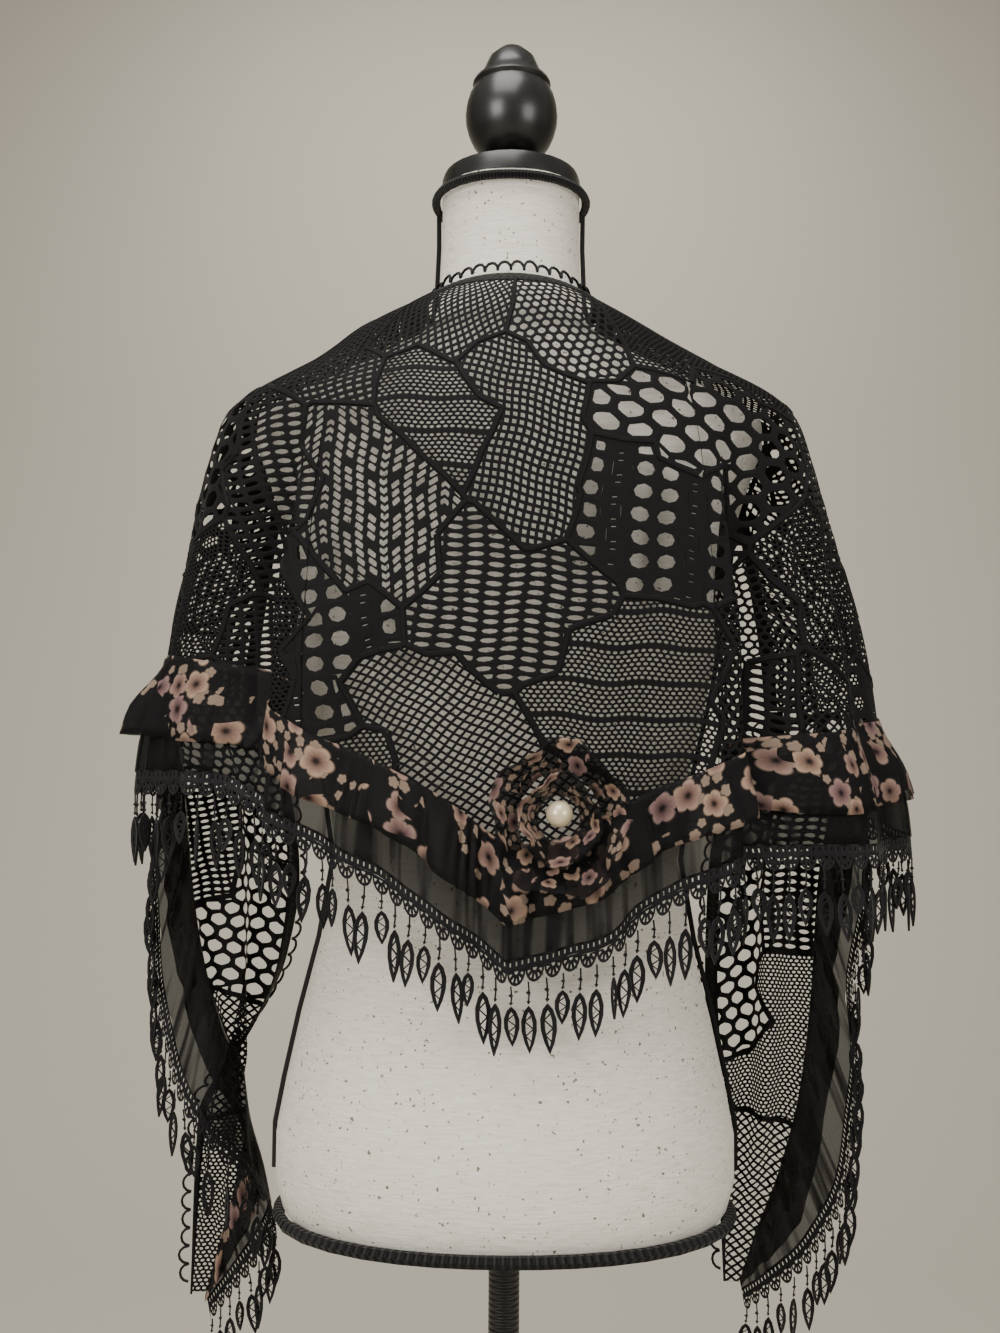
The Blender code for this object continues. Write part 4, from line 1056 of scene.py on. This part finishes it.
def tail_lace(name, side, thick):
    """The lace of a tail, laid out from the middle of its width."""
    tip = tail_tip(side)
    heights = np.linspace(-0.08, 0.37, 91)
    across = np.linspace(0, 1, 41)
    points = tail(side, *np.meshgrid(across, heights))
    steps = np.linalg.norm(np.diff(points, axis=1), axis=-1)
    reach = np.concatenate((np.zeros((91, 1)), np.cumsum(steps, axis=1)), axis=1)

    def shares(flat):
        height = np.clip(flat[:, 1], heights[0], heights[-1])
        row = np.clip((height - heights[0]) / (heights[1] - heights[0]), 0, 89.999).astype(int)
        share = np.empty(len(flat))
        wide = reach[row, -1]
        for r in np.unique(row):
            here = row == r
            at = side * flat[here, 0] + wide[here] / 2
            past = np.minimum(at, 0) + np.maximum(at - wide[here], 0)
            share[here] = np.interp(at, reach[r], across) + past / MARGIN_SCALE
        return share, height

    def top(share):
        return hem_height(side * (FRONT_ANGLE + (TAIL_ANGLE - FRONT_ANGLE) * share))

    def place(flat):
        share, height = shares(flat)
        share = np.clip(share, EDGE_SHARE, 1.0)
        return (lambda a, h: tail(side, a, h)), share, np.clip(height, tip, top(share))

    def inside(flat):
        share, height = shares(flat)
        return (share > -0.07) & (share < 1.07) & (height > tip - 0.002) & (height < top(share) + 0.004)
    cloth = Cloth(place)
    cells, lines = fill_patches(TAIL_PATCHES[0 if side < 0 else 1], *TAIL_PLAN, inside)
    lay_net(cloth, cells, lines, thick, 0.0040, 0.0010)
    return cloth.build(name)


# ---------------------------------------------------------------- shells of chiffon
def shell(name, surface, one, two, thick, lift, flat):
    """A thin closed wall of cloth over two grids, with the flat cut's metres as its UV."""
    middle = surface(one, two)
    normal = normals(surface, one, two)
    layers = [middle + normal * (lift + part * thick / 2)[..., None] for part in (1, -1)]
    points = np.concatenate([layer.reshape(-1, 3) for layer in layers])
    rows, cols = one.shape
    faces = turned(points, wall_faces(rows, cols), 2 * (rows - 1) * (cols - 1))
    obj = new_mesh(name, points, faces)
    lay_flat(obj, np.concatenate((flat.reshape(-1, 2), flat.reshape(-1, 2))))
    return obj


def join(name, *objs):
    """Several meshes as one piece."""
    bpy.ops.object.select_all(action="DESELECT")
    for obj in objs:
        obj.select_set(True)
    bpy.context.view_layer.objects.active = objs[0]
    bpy.ops.object.join()
    whole = bpy.context.view_layer.objects.active
    whole.name = name
    whole.data.name = name
    return whole


def along_hem(angle, drop):
    """Length along the flounce from the centre back, at one drop, for the angles given."""
    fine = np.linspace(-100, 100, 801)
    points = flounce(fine, np.full_like(fine, drop))
    length = np.concatenate(([0.0], np.cumsum(np.linalg.norm(np.diff(points, axis=0), axis=-1))))
    length -= np.interp(0.0, fine, length)
    return np.interp(angle, fine, length)


def back_strip(name, surface, limit, top, bottom, columns, rows, thick, gather, seed):
    """A strip round the back between two drops, with fine gathers that fade towards its seam."""
    across = np.tile(np.linspace(-limit, limit, columns), (rows, 1))
    depth = read(HEM, "drop", np.abs(across))
    part = np.linspace(0.0, 1.0, rows)[:, None]
    drops = top(depth) + (bottom(depth) - top(depth)) * part
    length = along_hem(across, 0.06)
    fine = np.sin(length * 610 + seed + 2.0 * np.sin(length * 83 + seed))
    fine = fine * (0.55 + 0.45 * np.sin(length * 141 + 2 * seed))
    lift = gather * fine * ease(part * 2.2)
    return shell(name, surface, across, drops, thick, lift, np.stack((length, -drops), axis=-1))


def floral_drop(drop):
    """How deep the floral ruffle hangs where the flounce has a depth: shortest at the centre back."""
    deep = FLORAL_BACK + (FLORAL_DEEP - FLORAL_BACK) * ease((drop - 0.061) / 0.009)
    return np.minimum(deep, 0.80 * drop)


HEADING = 2.5 * MM              # the floral ruffle is sewn over the lace by this much
CASCADE = 2.4 * MM              # the slow folds of a tail's flounce


def tail_strip(name, side, top, bottom, columns, rows, thick, gather, lift):
    """A strip of the flounce down a tail, in cascading folds that hang straight."""
    start = hem_height(np.array(side * TAIL_ANGLE)) - 0.010
    heights = np.tile(np.linspace(start, tail_tip(side), columns), (rows, 1))
    depth = read(tail_table(side), "deep", heights)
    part = np.linspace(0.0, 1.0, rows)[:, None]
    drops = top(depth) + (bottom(depth) - top(depth)) * part
    wave = gather * np.sin(heights * 260 + 1.5 * np.sin(heights * 47 + side)) * ease(part * 1.5)
    wave = wave + CASCADE * np.sin(heights * 118 + 2.2 * part + 1.7 * np.sin(heights * 31)) * ease(part * 1.2)
    flat = np.stack((side * (0.55 + start - heights), -drops), axis=-1)

    def face(height, drop):
        return tail_flounce(side, height, drop)
    return shell(name, face, heights, drops, thick, side * lift + wave, flat)


# ---------------------------------------------------------------- trim and fringe
TRIM_LAP = 2.2 * MM             # the edging is sewn over the flounce's hem by this much
SCALLOP = 11.5 * MM             # from scallop to scallop
BAND = 6.0 * MM                 # the band of small net above the scallops
BAND_CELL = 3.83 * MM           # three of its cells to a scallop
TRIM_CORD = 1.4 * MM            # the cord between the band and the scallops
FAN_DEEP = 8.6 * MM
FANS = 5                        # in each scallop


def trim_cells(length_low, length_high, top):
    """Guipure edging laid flat: a band of small net, a cord, and a row of scalloped fans."""
    cells = []
    reach = np.array((SCALLOP / 2, FAN_DEEP))
    for k in range(int(math.floor(length_low / SCALLOP)), int(math.ceil(length_high / SCALLOP))):
        left = k * SCALLOP
        for c in range(3):
            middle = (left + (c + 0.5) * BAND_CELL, top - BAND / 2)
            cells.append((np.array(BOX) * (BAND_CELL, BAND) + middle, 0.24, 0.40))
        strip = np.array(BOX) * (SCALLOP, TRIM_CORD) + (left + SCALLOP / 2, top - BAND - TRIM_CORD / 2)
        cells.append((strip, 0.0, 0.0))
        centre = np.array((left + SCALLOP / 2, top - BAND - TRIM_CORD))
        for f in range(FANS):
            a, b = math.pi * f / FANS, math.pi * (f + 1) / FANS
            rim = [centre - reach * (math.cos(t), math.sin(t)) for t in (a, (a + b) / 2, b)]
            near = [centre - 0.22 * reach * (math.cos(t), math.sin(t)) for t in (a, b)]
            cells.append((np.array((near[0], rim[0], rim[1], rim[2], near[1])), 0.36, 0.40))
    return cells


def lay_trim(cloth, cells, thick):
    """Puts the edging's cells on a cloth; a shrink of 0 leaves a cell solid."""
    for cell, shrink_x, shrink_y in cells:
        if area_of(cell) < 0:
            cell = cell[::-1]
        middle = cell.mean(axis=0)
        hole = None if shrink_x == 0 else middle + (cell - middle) * (shrink_x, shrink_y)
        cloth.ring(cell, hole, thick)


def leaf_parts():
    """One tassel, hanging from the origin: a cord with two knots, and a lacy leaf. (points, faces) in mm."""
    points, faces = [], []

    def prism(line, radius):
        base = len(points)
        for x, y, z in line:
            for k in range(3):
                a = 2 * math.pi * k / 3
                points.append((x + radius * math.cos(a), y + radius * math.sin(a), z))
        for s in range(len(line) - 1):
            for k in range(3):
                n = (k + 1) % 3
                low = base + 3 * s
                faces.append((low + 3 + k, low + 3 + n, low + n, low + k))

    def knot(z, radius):
        base = len(points)
        points.extend(((radius, 0, z), (0, radius, z), (-radius, 0, z), (0, -radius, z), (0, 0, z + radius),
                       (0, 0, z - radius)))
        for k in range(4):
            n = (k + 1) % 4
            faces.append((base + k, base + n, base + 4))
            faces.append((base + n, base + k, base + 5))
    prism(((0, 0, 1.0), (0.4, 0, -7), (-0.3, 0, -14)), 0.65)
    knot(-6.5, 1.7)
    knot(-12.5, 1.4)
    outline = ((0.0, -15.0), (-2.8, -18.5), (-4.7, -25.0), (-4.6, -32.0), (-2.9, -39.5), (0.0, -47.0),
               (2.9, -39.5), (4.6, -32.0), (4.7, -25.0), (2.8, -18.5))
    rows = len(outline)
    base = len(points)
    for depth in (0.7, -0.7):
        for x, z in outline:
            points.append((x, depth, z))
        for x, z in outline:
            points.append((x * 0.46, depth * 0.5, -30 + (z + 30) * 0.72))
    for k in range(rows):
        n = (k + 1) % rows
        o, i, p, q = base, base + rows, base + 2 * rows, base + 3 * rows
        faces.append((o + k, i + k, i + n, o + n))
        faces.append((p + n, q + n, q + k, p + k))
        faces.append((i + k, q + k, q + n, i + n))
        faces.append((o + n, p + n, p + k, o + k))
    for z, half, slope in ((-23.0, 2.2, 2.4), (-28.0, 2.5, -2.4), (-33.0, 2.4, 2.4), (-37.5, 1.6, -1.8)):
        base = len(points)
        for x, rise in ((-half, -slope), (half, slope)):
            points.extend(((x, 0.3, z + rise + 0.6), (x, 0.3, z + rise - 0.6), (x, -0.3, z + rise - 0.6),
                           (x, -0.3, z + rise + 0.6)))
        for k in range(4):
            n = (k + 1) % 4
            faces.append((base + k, base + n, base + 4 + n, base + 4 + k))
    return np.array(points) * MM, faces


def hang_leaves(name, roots, outwards, seed):
    """A row of tassels, each hanging straight down from its root and turned a little its own way."""
    points, faces = leaf_parts()
    random = np.random.default_rng(seed)
    everything, every_face = [], []
    for number, (root, outward) in enumerate(zip(roots, outwards)):
        turn = math.atan2(outward[0], -outward[1]) + random.normal(0, 0.32)
        if random.random() < 0.14:
            turn += random.choice((-1.1, 1.1))
        tall = random.uniform(0.88, 1.0) if number % 3 else random.uniform(0.62, 0.78)
        wide = random.uniform(0.88, 1.08)
        lean = random.normal(0, 0.05)
        local = points * (wide, 1.0, tall)
        local[:, 0] += local[:, 2] * lean
        c, s = math.cos(turn), math.sin(turn)
        x = local[:, 0] * c - local[:, 1] * s
        y = local[:, 0] * s + local[:, 1] * c
        base = len(points) * number
        everything.append(np.stack((x, y, local[:, 2]), axis=-1) + root)
        every_face += [tuple(base + i for i in face) for face in faces]
    return new_mesh(name, np.concatenate(everything), every_face)


# ---------------------------------------------------------------- gimp edging
def plait(name, surface, one, two, thick, pitch, length):
    """A plaited braid over a grid five points wide: slanting floats that meet in the middle."""
    middle = surface(one, two)
    normal = normals(surface, one, two)
    centre = np.linspace(-1, 1, one.shape[0])[:, None]
    slant = np.abs(np.sin(math.pi * (length / pitch + 0.5 * np.abs(centre))))
    lift = thick / 2 * np.where(np.abs(centre) > 0.9, 0.35, 0.55 + 0.55 * slant)
    points = np.concatenate([(middle + normal * (layer * lift)[..., None]).reshape(-1, 3)
                             for layer in (1, -1)])
    return new_mesh(name, points, turned(points, wall_faces(*one.shape)))


def picots(name, edge, outward, pitch, reach, thick, seed):
    """A row of thread loops along an edge line, standing out from it."""
    random = np.random.default_rng(seed)
    steps = np.linalg.norm(np.diff(edge, axis=0), axis=1)
    length = np.concatenate(([0.0], np.cumsum(steps)))
    points, faces = [], []
    loops = max(1, int(length[-1] / pitch))
    turns = np.linspace(0.15, math.pi - 0.15, 7)
    for k in range(loops):
        start, stop = k / loops * length[-1], (k + 0.93) / loops * length[-1]
        one = np.array([np.interp(start, length, edge[:, c]) for c in range(3)])
        two = np.array([np.interp(stop, length, edge[:, c]) for c in range(3)])
        out = np.array([np.interp((start + stop) / 2, length, outward[:, c]) for c in range(3)])
        out = out / np.linalg.norm(out)
        along = (two - one) / 2
        far = reach * random.uniform(0.75, 1.1)
        line = [(one + two) / 2 - along * math.cos(t) * 1.06 + out * far * math.sin(t) ** 0.8 for t in turns]
        side = np.cross(along, out)
        side = side / np.linalg.norm(side)
        base = len(points)
        for t, at in zip(turns, line):
            spread = -along / np.linalg.norm(along) * math.cos(t) + out * math.sin(t)
            for a in (0, 2 * math.pi / 3, 4 * math.pi / 3):
                points.append(at + thick / 2 * (spread * math.cos(a) + side * math.sin(a)))
        for r in range(len(turns) - 1):
            for c in range(3):
                n = (c + 1) % 3
                low = base + 3 * r
                faces.append((low + c, low + n, low + 3 + n, low + 3 + c))
    return new_mesh(name, points, turned(points, faces))


# ---------------------------------------------------------------- operators
class ShawlSettings(bpy.types.PropertyGroup):
    thread: bpy.props.FloatProperty(name="Lace thread", description="Thickness of the lace", default=0.0008,
                                    min=0.0004, max=0.0012, unit="LENGTH")
    chiffon: bpy.props.FloatProperty(name="Chiffon", description="Thickness of the chiffon", default=0.0006,
                                     min=0.0003, max=0.0012, unit="LENGTH")
    gather: bpy.props.FloatProperty(name="Gathers", description="Depth of the ruffles' fine gathers",
                                    default=0.0012, min=0.0, max=0.003, unit="LENGTH")
    leaf_pitch: bpy.props.FloatProperty(name="Tassel spacing", description="Distance from tassel to tassel",
                                        default=0.0108, min=0.006, max=0.02, unit="LENGTH")


class LaceOperator(bpy.types.Operator):
    """Patchwork lace of the back, the arms and the two tails"""
    bl_idname = "shawl.lace"
    bl_label = "Lace"

    def execute(self, context):
        thick = context.scene.shawl.thread
        plan = plan_tables()
        front = FRONT_ANGLE - EDGE_TURN
        stretches = (("Lace_Back", -SIDE_ANGLE, SIDE_ANGLE, "lace_back"),
                     ("Lace_Arm_Left", -front, -SIDE_ANGLE, "lace_arm_left"),
                     ("Lace_Arm_Right", SIDE_ANGLE, front, "lace_arm_right"))
        made = [(cape_lace(name, first, last, plan, thick), solid) for name, first, last, solid in stretches]
        made.append((tail_lace("Lace_Tail_Left", -1, thick), "lace_tail_left"))
        made.append((tail_lace("Lace_Tail_Right", 1, thick), "lace_tail_right"))
        for obj, solid in made:
            dress(obj, "lace")
            keep(obj, solid)
        return {"FINISHED"}


class EdgingOperator(bpy.types.Operator):
    """Gimp braid with picot loops round the neck, down the front edges and the tails"""
    bl_idname = "shawl.edging"
    bl_label = "Gimp edging"

    def execute(self, context):
        across, rows = np.meshgrid(np.linspace(-FRONT_ANGLE, FRONT_ANGLE, 260),
                                   np.linspace(NECK_HEIGHT, LACE_TOP + 0.0003, 5))
        length = np.radians(across) * 0.075
        neck = plait("Gimp_Neck", cape, across, rows, GIMP_THICK, GIMP_PITCH, length)
        dress(neck, "gimp_braid")
        keep(neck, "edge_braid_neck")
        angle = np.linspace(-FRONT_ANGLE + 4, FRONT_ANGLE - 4, 300)
        edge = cape(angle, np.full_like(angle, NECK_HEIGHT)) + (0, 0, 0.0006)
        out = np.stack((-0.25 * np.sin(np.radians(angle)), 0.25 * np.cos(np.radians(angle)),
                        np.ones_like(angle)), axis=-1)
        neck_loops = picots("Picots_Neck", edge, out, 8.8 * MM, 8.8 * MM, LOOP_THREAD, 3)
        dress(neck_loops, "gimp_braid")
        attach(neck_loops, "root")
        for side, word in ((-1, "left"), (1, "right")):
            inner = FRONT_ANGLE - EDGE_TURN * 0.97
            parts = np.linspace(0, 1, 150)
            low = float(hem_height(np.array(side * FRONT_ANGLE)))
            columns, heights = np.meshgrid(np.linspace(side * inner, side * FRONT_ANGLE, 5), parts)
            heights = LACE_TOP + (low - LACE_TOP) * heights
            length = np.abs(LACE_TOP - heights) * 1.25
            front = plait("Gimp_Front_" + word.title(), cape, columns.T, heights.T, GIMP_THICK, GIMP_PITCH,
                          length.T)
            share = np.linspace(0.0, EDGE_SHARE, 5)
            columns, run = np.meshgrid(share, np.linspace(0, 1, 210))
            top = hem_height(side * (FRONT_ANGLE + (TAIL_ANGLE - FRONT_ANGLE) * columns)) - 0.0003
            heights = top + (tail_tip(side) - top) * run
            tailing = plait("Gimp_Tail_" + word.title(), lambda a, h, side=side: tail(side, a, h),
                            columns.T, heights.T, GIMP_THICK, GIMP_PITCH, (top - heights).T)
            edge_heights = heights[4:206, 0]
            edge = tail(side, np.zeros_like(edge_heights), edge_heights)
            out = edge - tail(side, np.full_like(edge_heights, 0.1), edge_heights)
            loops = picots("Picots_" + word.title(), edge, out, 12.5 * MM, 8.5 * MM, LOOP_THREAD, 7 + side)
            for obj, solid in ((front, "edge_braid_front_" + word), (tailing, "edge_braid_tail_" + word)):
                dress(obj, "gimp_braid")
                keep(obj, solid)
            dress(loops, "gimp_braid")
            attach(loops, "root")
        return {"FINISHED"}


class FlounceOperator(bpy.types.Operator):
    """Sheer flounce and the shorter floral ruffle over it"""
    bl_idname = "shawl.flounces"
    bl_label = "Chiffon flounces"

    def execute(self, context):
        thick, gather = context.scene.shawl.chiffon, context.scene.shawl.gather
        end = TAIL_ANGLE - 0.2
        sheer = back_strip("Sheer_Flounce", flounce, end, lambda d: 0 * d, lambda d: d, 420, 9, thick,
                           -0.9 * gather, 0.7)
        floral = back_strip("Floral_Ruffle", ruffle, end - 2, lambda d: 0 * d - HEADING, floral_drop, 420, 9,
                            thick, -1.2 * gather, 2.9)
        pieces = {"Sheer_Flounce": [sheer], "Floral_Ruffle": [floral]}
        for side in (-1, 1):
            pieces["Sheer_Flounce"].append(tail_strip("sheer part", side, lambda d: 0 * d, lambda d: d,
                                                      200, 7, thick, 0.0008, 0.0))
            pieces["Floral_Ruffle"].append(tail_strip("floral part", side, lambda d: 0 * d,
                                                      floral_drop, 200, 7, thick, 0.0022, TAIL_LIFT))
        sheer = join("Sheer_Flounce", *pieces["Sheer_Flounce"])
        floral = join("Floral_Ruffle", *pieces["Floral_Ruffle"])
        dress(sheer, "sheer_chiffon", smooth=True)
        dress(floral, "floral_chiffon", smooth=True)
        keep(sheer, "sheer_flounce_back", "sheer_flounce_left", "sheer_flounce_right")
        keep(floral, "floral_ruffle_back", "floral_ruffle_left", "floral_ruffle_right")
        return {"FINISHED"}


class TrimOperator(bpy.types.Operator):
    """Scalloped guipure edging under the flounce"""
    bl_idname = "shawl.trim"
    bl_label = "Guipure edging"

    def execute(self, context):
        thick = context.scene.shawl.thread
        end = TAIL_ANGLE - 0.2
        fine = np.linspace(-end, end, 801)
        length = along_hem(fine, 0.075)

        def place(flat):
            angle = np.interp(flat[:, 0], length, fine)
            depth = read(HEM, "drop", np.abs(angle))
            return (lambda a, m: flounce(a, -m)), angle, -(depth + SEAM - flat[:, 1])
        cloth = Cloth(place)
        lay_trim(cloth, trim_cells(length[0], length[-1], TRIM_LAP), thick)
        parts = [cloth.build("Guipure_Trim")]
        for side in (-1, 1):
            start = float(hem_height(np.array(side * TAIL_ANGLE))) - 0.012
            low = tail_tip(side)

            def place_tail(flat, side=side, start=start, low=low):
                height = np.clip(flat[:, 0], low, start)
                depth = read(tail_table(side), "deep", height)
                return (lambda h, m: tail_flounce(side, h, -m)), height, -(depth + SEAM - flat[:, 1])
            cloth = Cloth(place_tail)
            lay_trim(cloth, trim_cells(low, start, TRIM_LAP), thick)
            parts.append(cloth.build("trim part"))
        trim = join("Guipure_Trim", *parts)
        dress(trim, "guipure")
        keep(trim, "guipure_trim_back", "guipure_trim_left", "guipure_trim_right")
        return {"FINISHED"}


class FringeOperator(bpy.types.Operator):
    """Leaf tassels hung from the guipure edging"""
    bl_idname = "shawl.fringe"
    bl_label = "Leaf fringe"

    def execute(self, context):
        pitch = context.scene.shawl.leaf_pitch
        end = TAIL_ANGLE - 1.0
        length = along_hem(np.array((-end, end)), 0.09)
        count = int((length[1] - length[0]) / pitch)
        fine = np.linspace(-100, 100, 801)
        angles = np.interp(np.linspace(length[0], length[1], count), along_hem(fine, 0.09), fine)
        depth = read(HEM, "drop", np.abs(angles)) + TRIM_DEEP - 0.002
        roots = flounce(angles, depth)
        normal = -normals(flounce, angles, depth)
        normal[:, 2] = 0.0
        outward = normal / np.linalg.norm(normal, axis=1, keepdims=True)
        leaves = [hang_leaves("Leaf_Fringe", roots, outward, 11)]
        for side in (-1, 1):
            start = float(hem_height(np.array(side * TAIL_ANGLE))) - 0.012
            heights = np.arange(tail_tip(side) + 0.002, start, pitch * 1.25)
            deep = read(tail_table(side), "deep", heights) + TRIM_DEEP - 0.002
            roots = tail_flounce(side, heights, deep)
            out = np.tile(np.array((0.25 * side, -1.0, 0.0)), (len(heights), 1))
            leaves.append(hang_leaves("leaf part", roots, out, 21 + side))
        fringe = join("Leaf_Fringe", *leaves)
        dress(fringe, "guipure")
        keep(fringe, "leaf_fringe_back", "leaf_fringe_left", "leaf_fringe_right")
        return {"FINISHED"}


Frill = namedtuple("Frill", "name foot rim deep lobes sway phase solid shift")
FRILLS = (                      # the rosette's rings: radii, depth, and the waves of their rims
    Frill("Rosette_Outer", 0.024, 0.0405, 0.0125, 5, 0.0058, 0.6, "rosette_outer", 0.10),
    Frill("Rosette_Inner", 0.012, 0.0230, 0.0175, 4, 0.0045, 2.2, "rosette_inner", 0.45),
)


class RosetteOperator(bpy.types.Operator):
    """Ruffled rosette with a pearl"""
    bl_idname = "shawl.rosette"
    bl_label = "Rosette"

    def execute(self, context):
        low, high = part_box("pearl")
        middle = (Vector(low) + Vector(high)) / 2
        plane = middle.y + 0.007
        for name, foot, rim, deep, lobes, sway, phase, solid, shift in FRILLS:
            def surface(turn, part, foot=foot, rim=rim, deep=deep, lobes=lobes, sway=sway, phase=phase):
                radius = foot + (rim - foot) * part ** 0.8
                ripple = sway * part * np.sin(lobes * turn + phase)
                ripple = ripple + 0.28 * sway * part * np.sin(3 * lobes * turn + 2.2 * phase)
                fine = 0.0005 * part * np.sin(41 * turn + 3 * np.sin(5 * turn))
                reach = radius + 0.5 * ripple
                return np.stack((ROSETTE[0] + reach * np.cos(turn),
                                 plane - deep * part ** 0.7 + 0.6 * ripple + fine,
                                 TORSO_Z + ROSETTE[1] + reach * 1.12 * np.sin(turn)), axis=-1)
            turns, parts = np.meshgrid(np.linspace(0, 2 * math.pi, 145), np.linspace(0.02, 1.0, 9))
            flat = np.stack((turns * rim * 1.15 + shift, parts * 0.034 + shift), axis=-1)
            obj = shell(name, surface, turns, parts, context.scene.shawl.chiffon, np.zeros_like(turns), flat)
            dress(obj, "floral_chiffon", smooth=True)
            keep(obj, solid)
        return {"FINISHED"}


class FormOperator(bpy.types.Operator):
    """Finishes of the dress form, its braids, finial and stand"""
    bl_idname = "shawl.form"
    bl_label = "Dress form"

    def execute(self, context):
        looks = {"torso": "form_cover", "pearl": "pearl", "pole": "pole", "pole_collar": "painted_stand",
                 "base_plate": "painted_stand", "neck_cap": "painted_wood", "finial_collar": "painted_wood",
                 "finial_ball": "painted_wood", "finial_dome": "painted_wood"}
        for solid in ("form_hem_braid", "form_neck_braid", "form_side_cord_left", "form_side_cord_right"):
            looks[solid] = "form_braid"
        for solid, look in looks.items():
            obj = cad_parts[solid]
            coat(obj, look)
            made = obj.data.attributes.get("custom_normal")
            if made is not None:
                obj.data.attributes.remove(made)
            smooth_faces(obj)
            weld = obj.modifiers.new("Weld", "WELD")
            weld.merge_threshold = 0.00002
            split = obj.modifiers.new("Hard edges", "EDGE_SPLIT")
            split.split_angle = math.radians(42)
        return {"FINISHED"}


FLOOR = -0.001                  # the floor lies just under the base
WALL = 3.4                      # how far behind the form the wall stands
COVE = 2.0                      # radius of the curve from floor to wall
Lamp = namedtuple("Lamp", "name place aim size power")
LAMPS = (
    Lamp("Top light", (-0.3, -0.9, 2.9), (0, 0, 0.85), 1.6, 56.0),
    Lamp("Left light", (-1.7, -2.3, 1.5), (0, 0, 0.85), 1.3, 52.0),
    Lamp("Right light", (1.8, -2.0, 1.2), (0, 0, 0.85), 1.2, 30.0),
    Lamp("Wall light", (0.0, 1.9, 2.9), (0, 3.4, 1.0), 2.0, 34.0),
)
CAMERA_LENS = 38.0
CAMERA_PLACE = (-0.005, -0.985, 0.787)
CAMERA_TURN = (95.0, -0.4, 0.0)  # degrees


class StageOperator(bpy.types.Operator):
    """Floor, wall, soft light and camera"""
    bl_idname = "shawl.stage"
    bl_label = "Stage"

    def execute(self, context):
        cove = WALL - COVE
        profile = [(-12.0, FLOOR), (cove, FLOOR)]
        profile += [(cove + COVE * math.sin(t), COVE - COVE * math.cos(t) + FLOOR)
                    for t in np.linspace(0.08, math.pi / 2, 18)]
        profile += [(WALL, 8.0)]
        points = [(x, y, z) for x in (-16.0, 16.0) for y, z in profile]
        count = len(profile)
        faces = [(k, count + k, count + k + 1, k + 1) for k in range(count - 1)]
        sweep = new_mesh("Sweep", points, faces)
        smooth_faces(sweep)
        look, tree, shader = finish_of("Warm grey wall", "#b9b4a7", 0.92)
        place = node(tree, "ShaderNodeTexCoord")
        rough = node(tree, "ShaderNodeTexNoise", {"Vector": place.outputs["Object"], "Scale": 40.0})
        bump = node(tree, "ShaderNodeBump", {"Height": rough.outputs["Fac"], "Strength": 0.15,
                                             "Distance": 0.002})
        tree.links.new(bump.outputs["Normal"], shader.inputs["Normal"])
        sweep.data.materials.append(look)
        world = bpy.data.worlds.new("Room")
        world.use_nodes = True
        ground = world.node_tree.nodes["Background"]
        ground.inputs["Color"].default_value = linear("#cfccc4")
        ground.inputs["Strength"].default_value = 0.62
        context.scene.world = world
        for name, place, aim, size, power in LAMPS:
            data = bpy.data.lights.new(name, "AREA")
            data.size = size
            data.energy = power
            data.color = (1.0, 0.975, 0.94)
            lamp = bpy.data.objects.new(name, data)
            lamp.location = place
            lamp.rotation_euler = (Vector(aim) - lamp.location).to_track_quat("-Z", "Y").to_euler()
            context.collection.objects.link(lamp)
        data = bpy.data.cameras.new("Camera")
        data.lens = CAMERA_LENS
        data.sensor_width = 36.0
        camera = bpy.data.objects.new("Camera", data)
        camera.location = CAMERA_PLACE
        camera.rotation_euler = [math.radians(turn) for turn in CAMERA_TURN]
        context.collection.objects.link(camera)
        context.scene.camera = camera
        return {"FINISHED"}


class SHAWL_PT_panel(bpy.types.Panel):
    """Sizes and pieces of the shawl"""
    bl_label = "Lace shawl"
    bl_space_type = "VIEW_3D"
    bl_region_type = "UI"
    bl_category = "Shawl"

    def draw(self, context):
        for name in ("thread", "chiffon", "gather", "leaf_pitch"):
            self.layout.prop(context.scene.shawl, name)
        for operator in OPERATORS:
            self.layout.operator(operator.bl_idname)


OPERATORS = (LaceOperator, EdgingOperator, FlounceOperator, TrimOperator, FringeOperator, RosetteOperator,
             FormOperator, StageOperator)


def register():
    """Makes the settings, the operators and the panel known."""
    bpy.utils.register_class(ShawlSettings)
    for operator in OPERATORS:
        bpy.utils.register_class(operator)
    bpy.utils.register_class(SHAWL_PT_panel)
    bpy.types.Scene.shawl = bpy.props.PointerProperty(type=ShawlSettings)


def unregister():
    """Takes away all that register adds."""
    del bpy.types.Scene.shawl
    bpy.utils.unregister_class(SHAWL_PT_panel)
    for operator in reversed(OPERATORS):
        bpy.utils.unregister_class(operator)
    bpy.utils.unregister_class(ShawlSettings)


def main():
    """Builds every piece and the stage."""
    register()
    bpy.ops.shawl.lace()
    bpy.ops.shawl.edging()
    bpy.ops.shawl.flounces()
    bpy.ops.shawl.trim()
    bpy.ops.shawl.fringe()
    bpy.ops.shawl.rosette()
    bpy.ops.shawl.form()
    bpy.ops.shawl.stage()


if __name__ == "__main__":
    main()
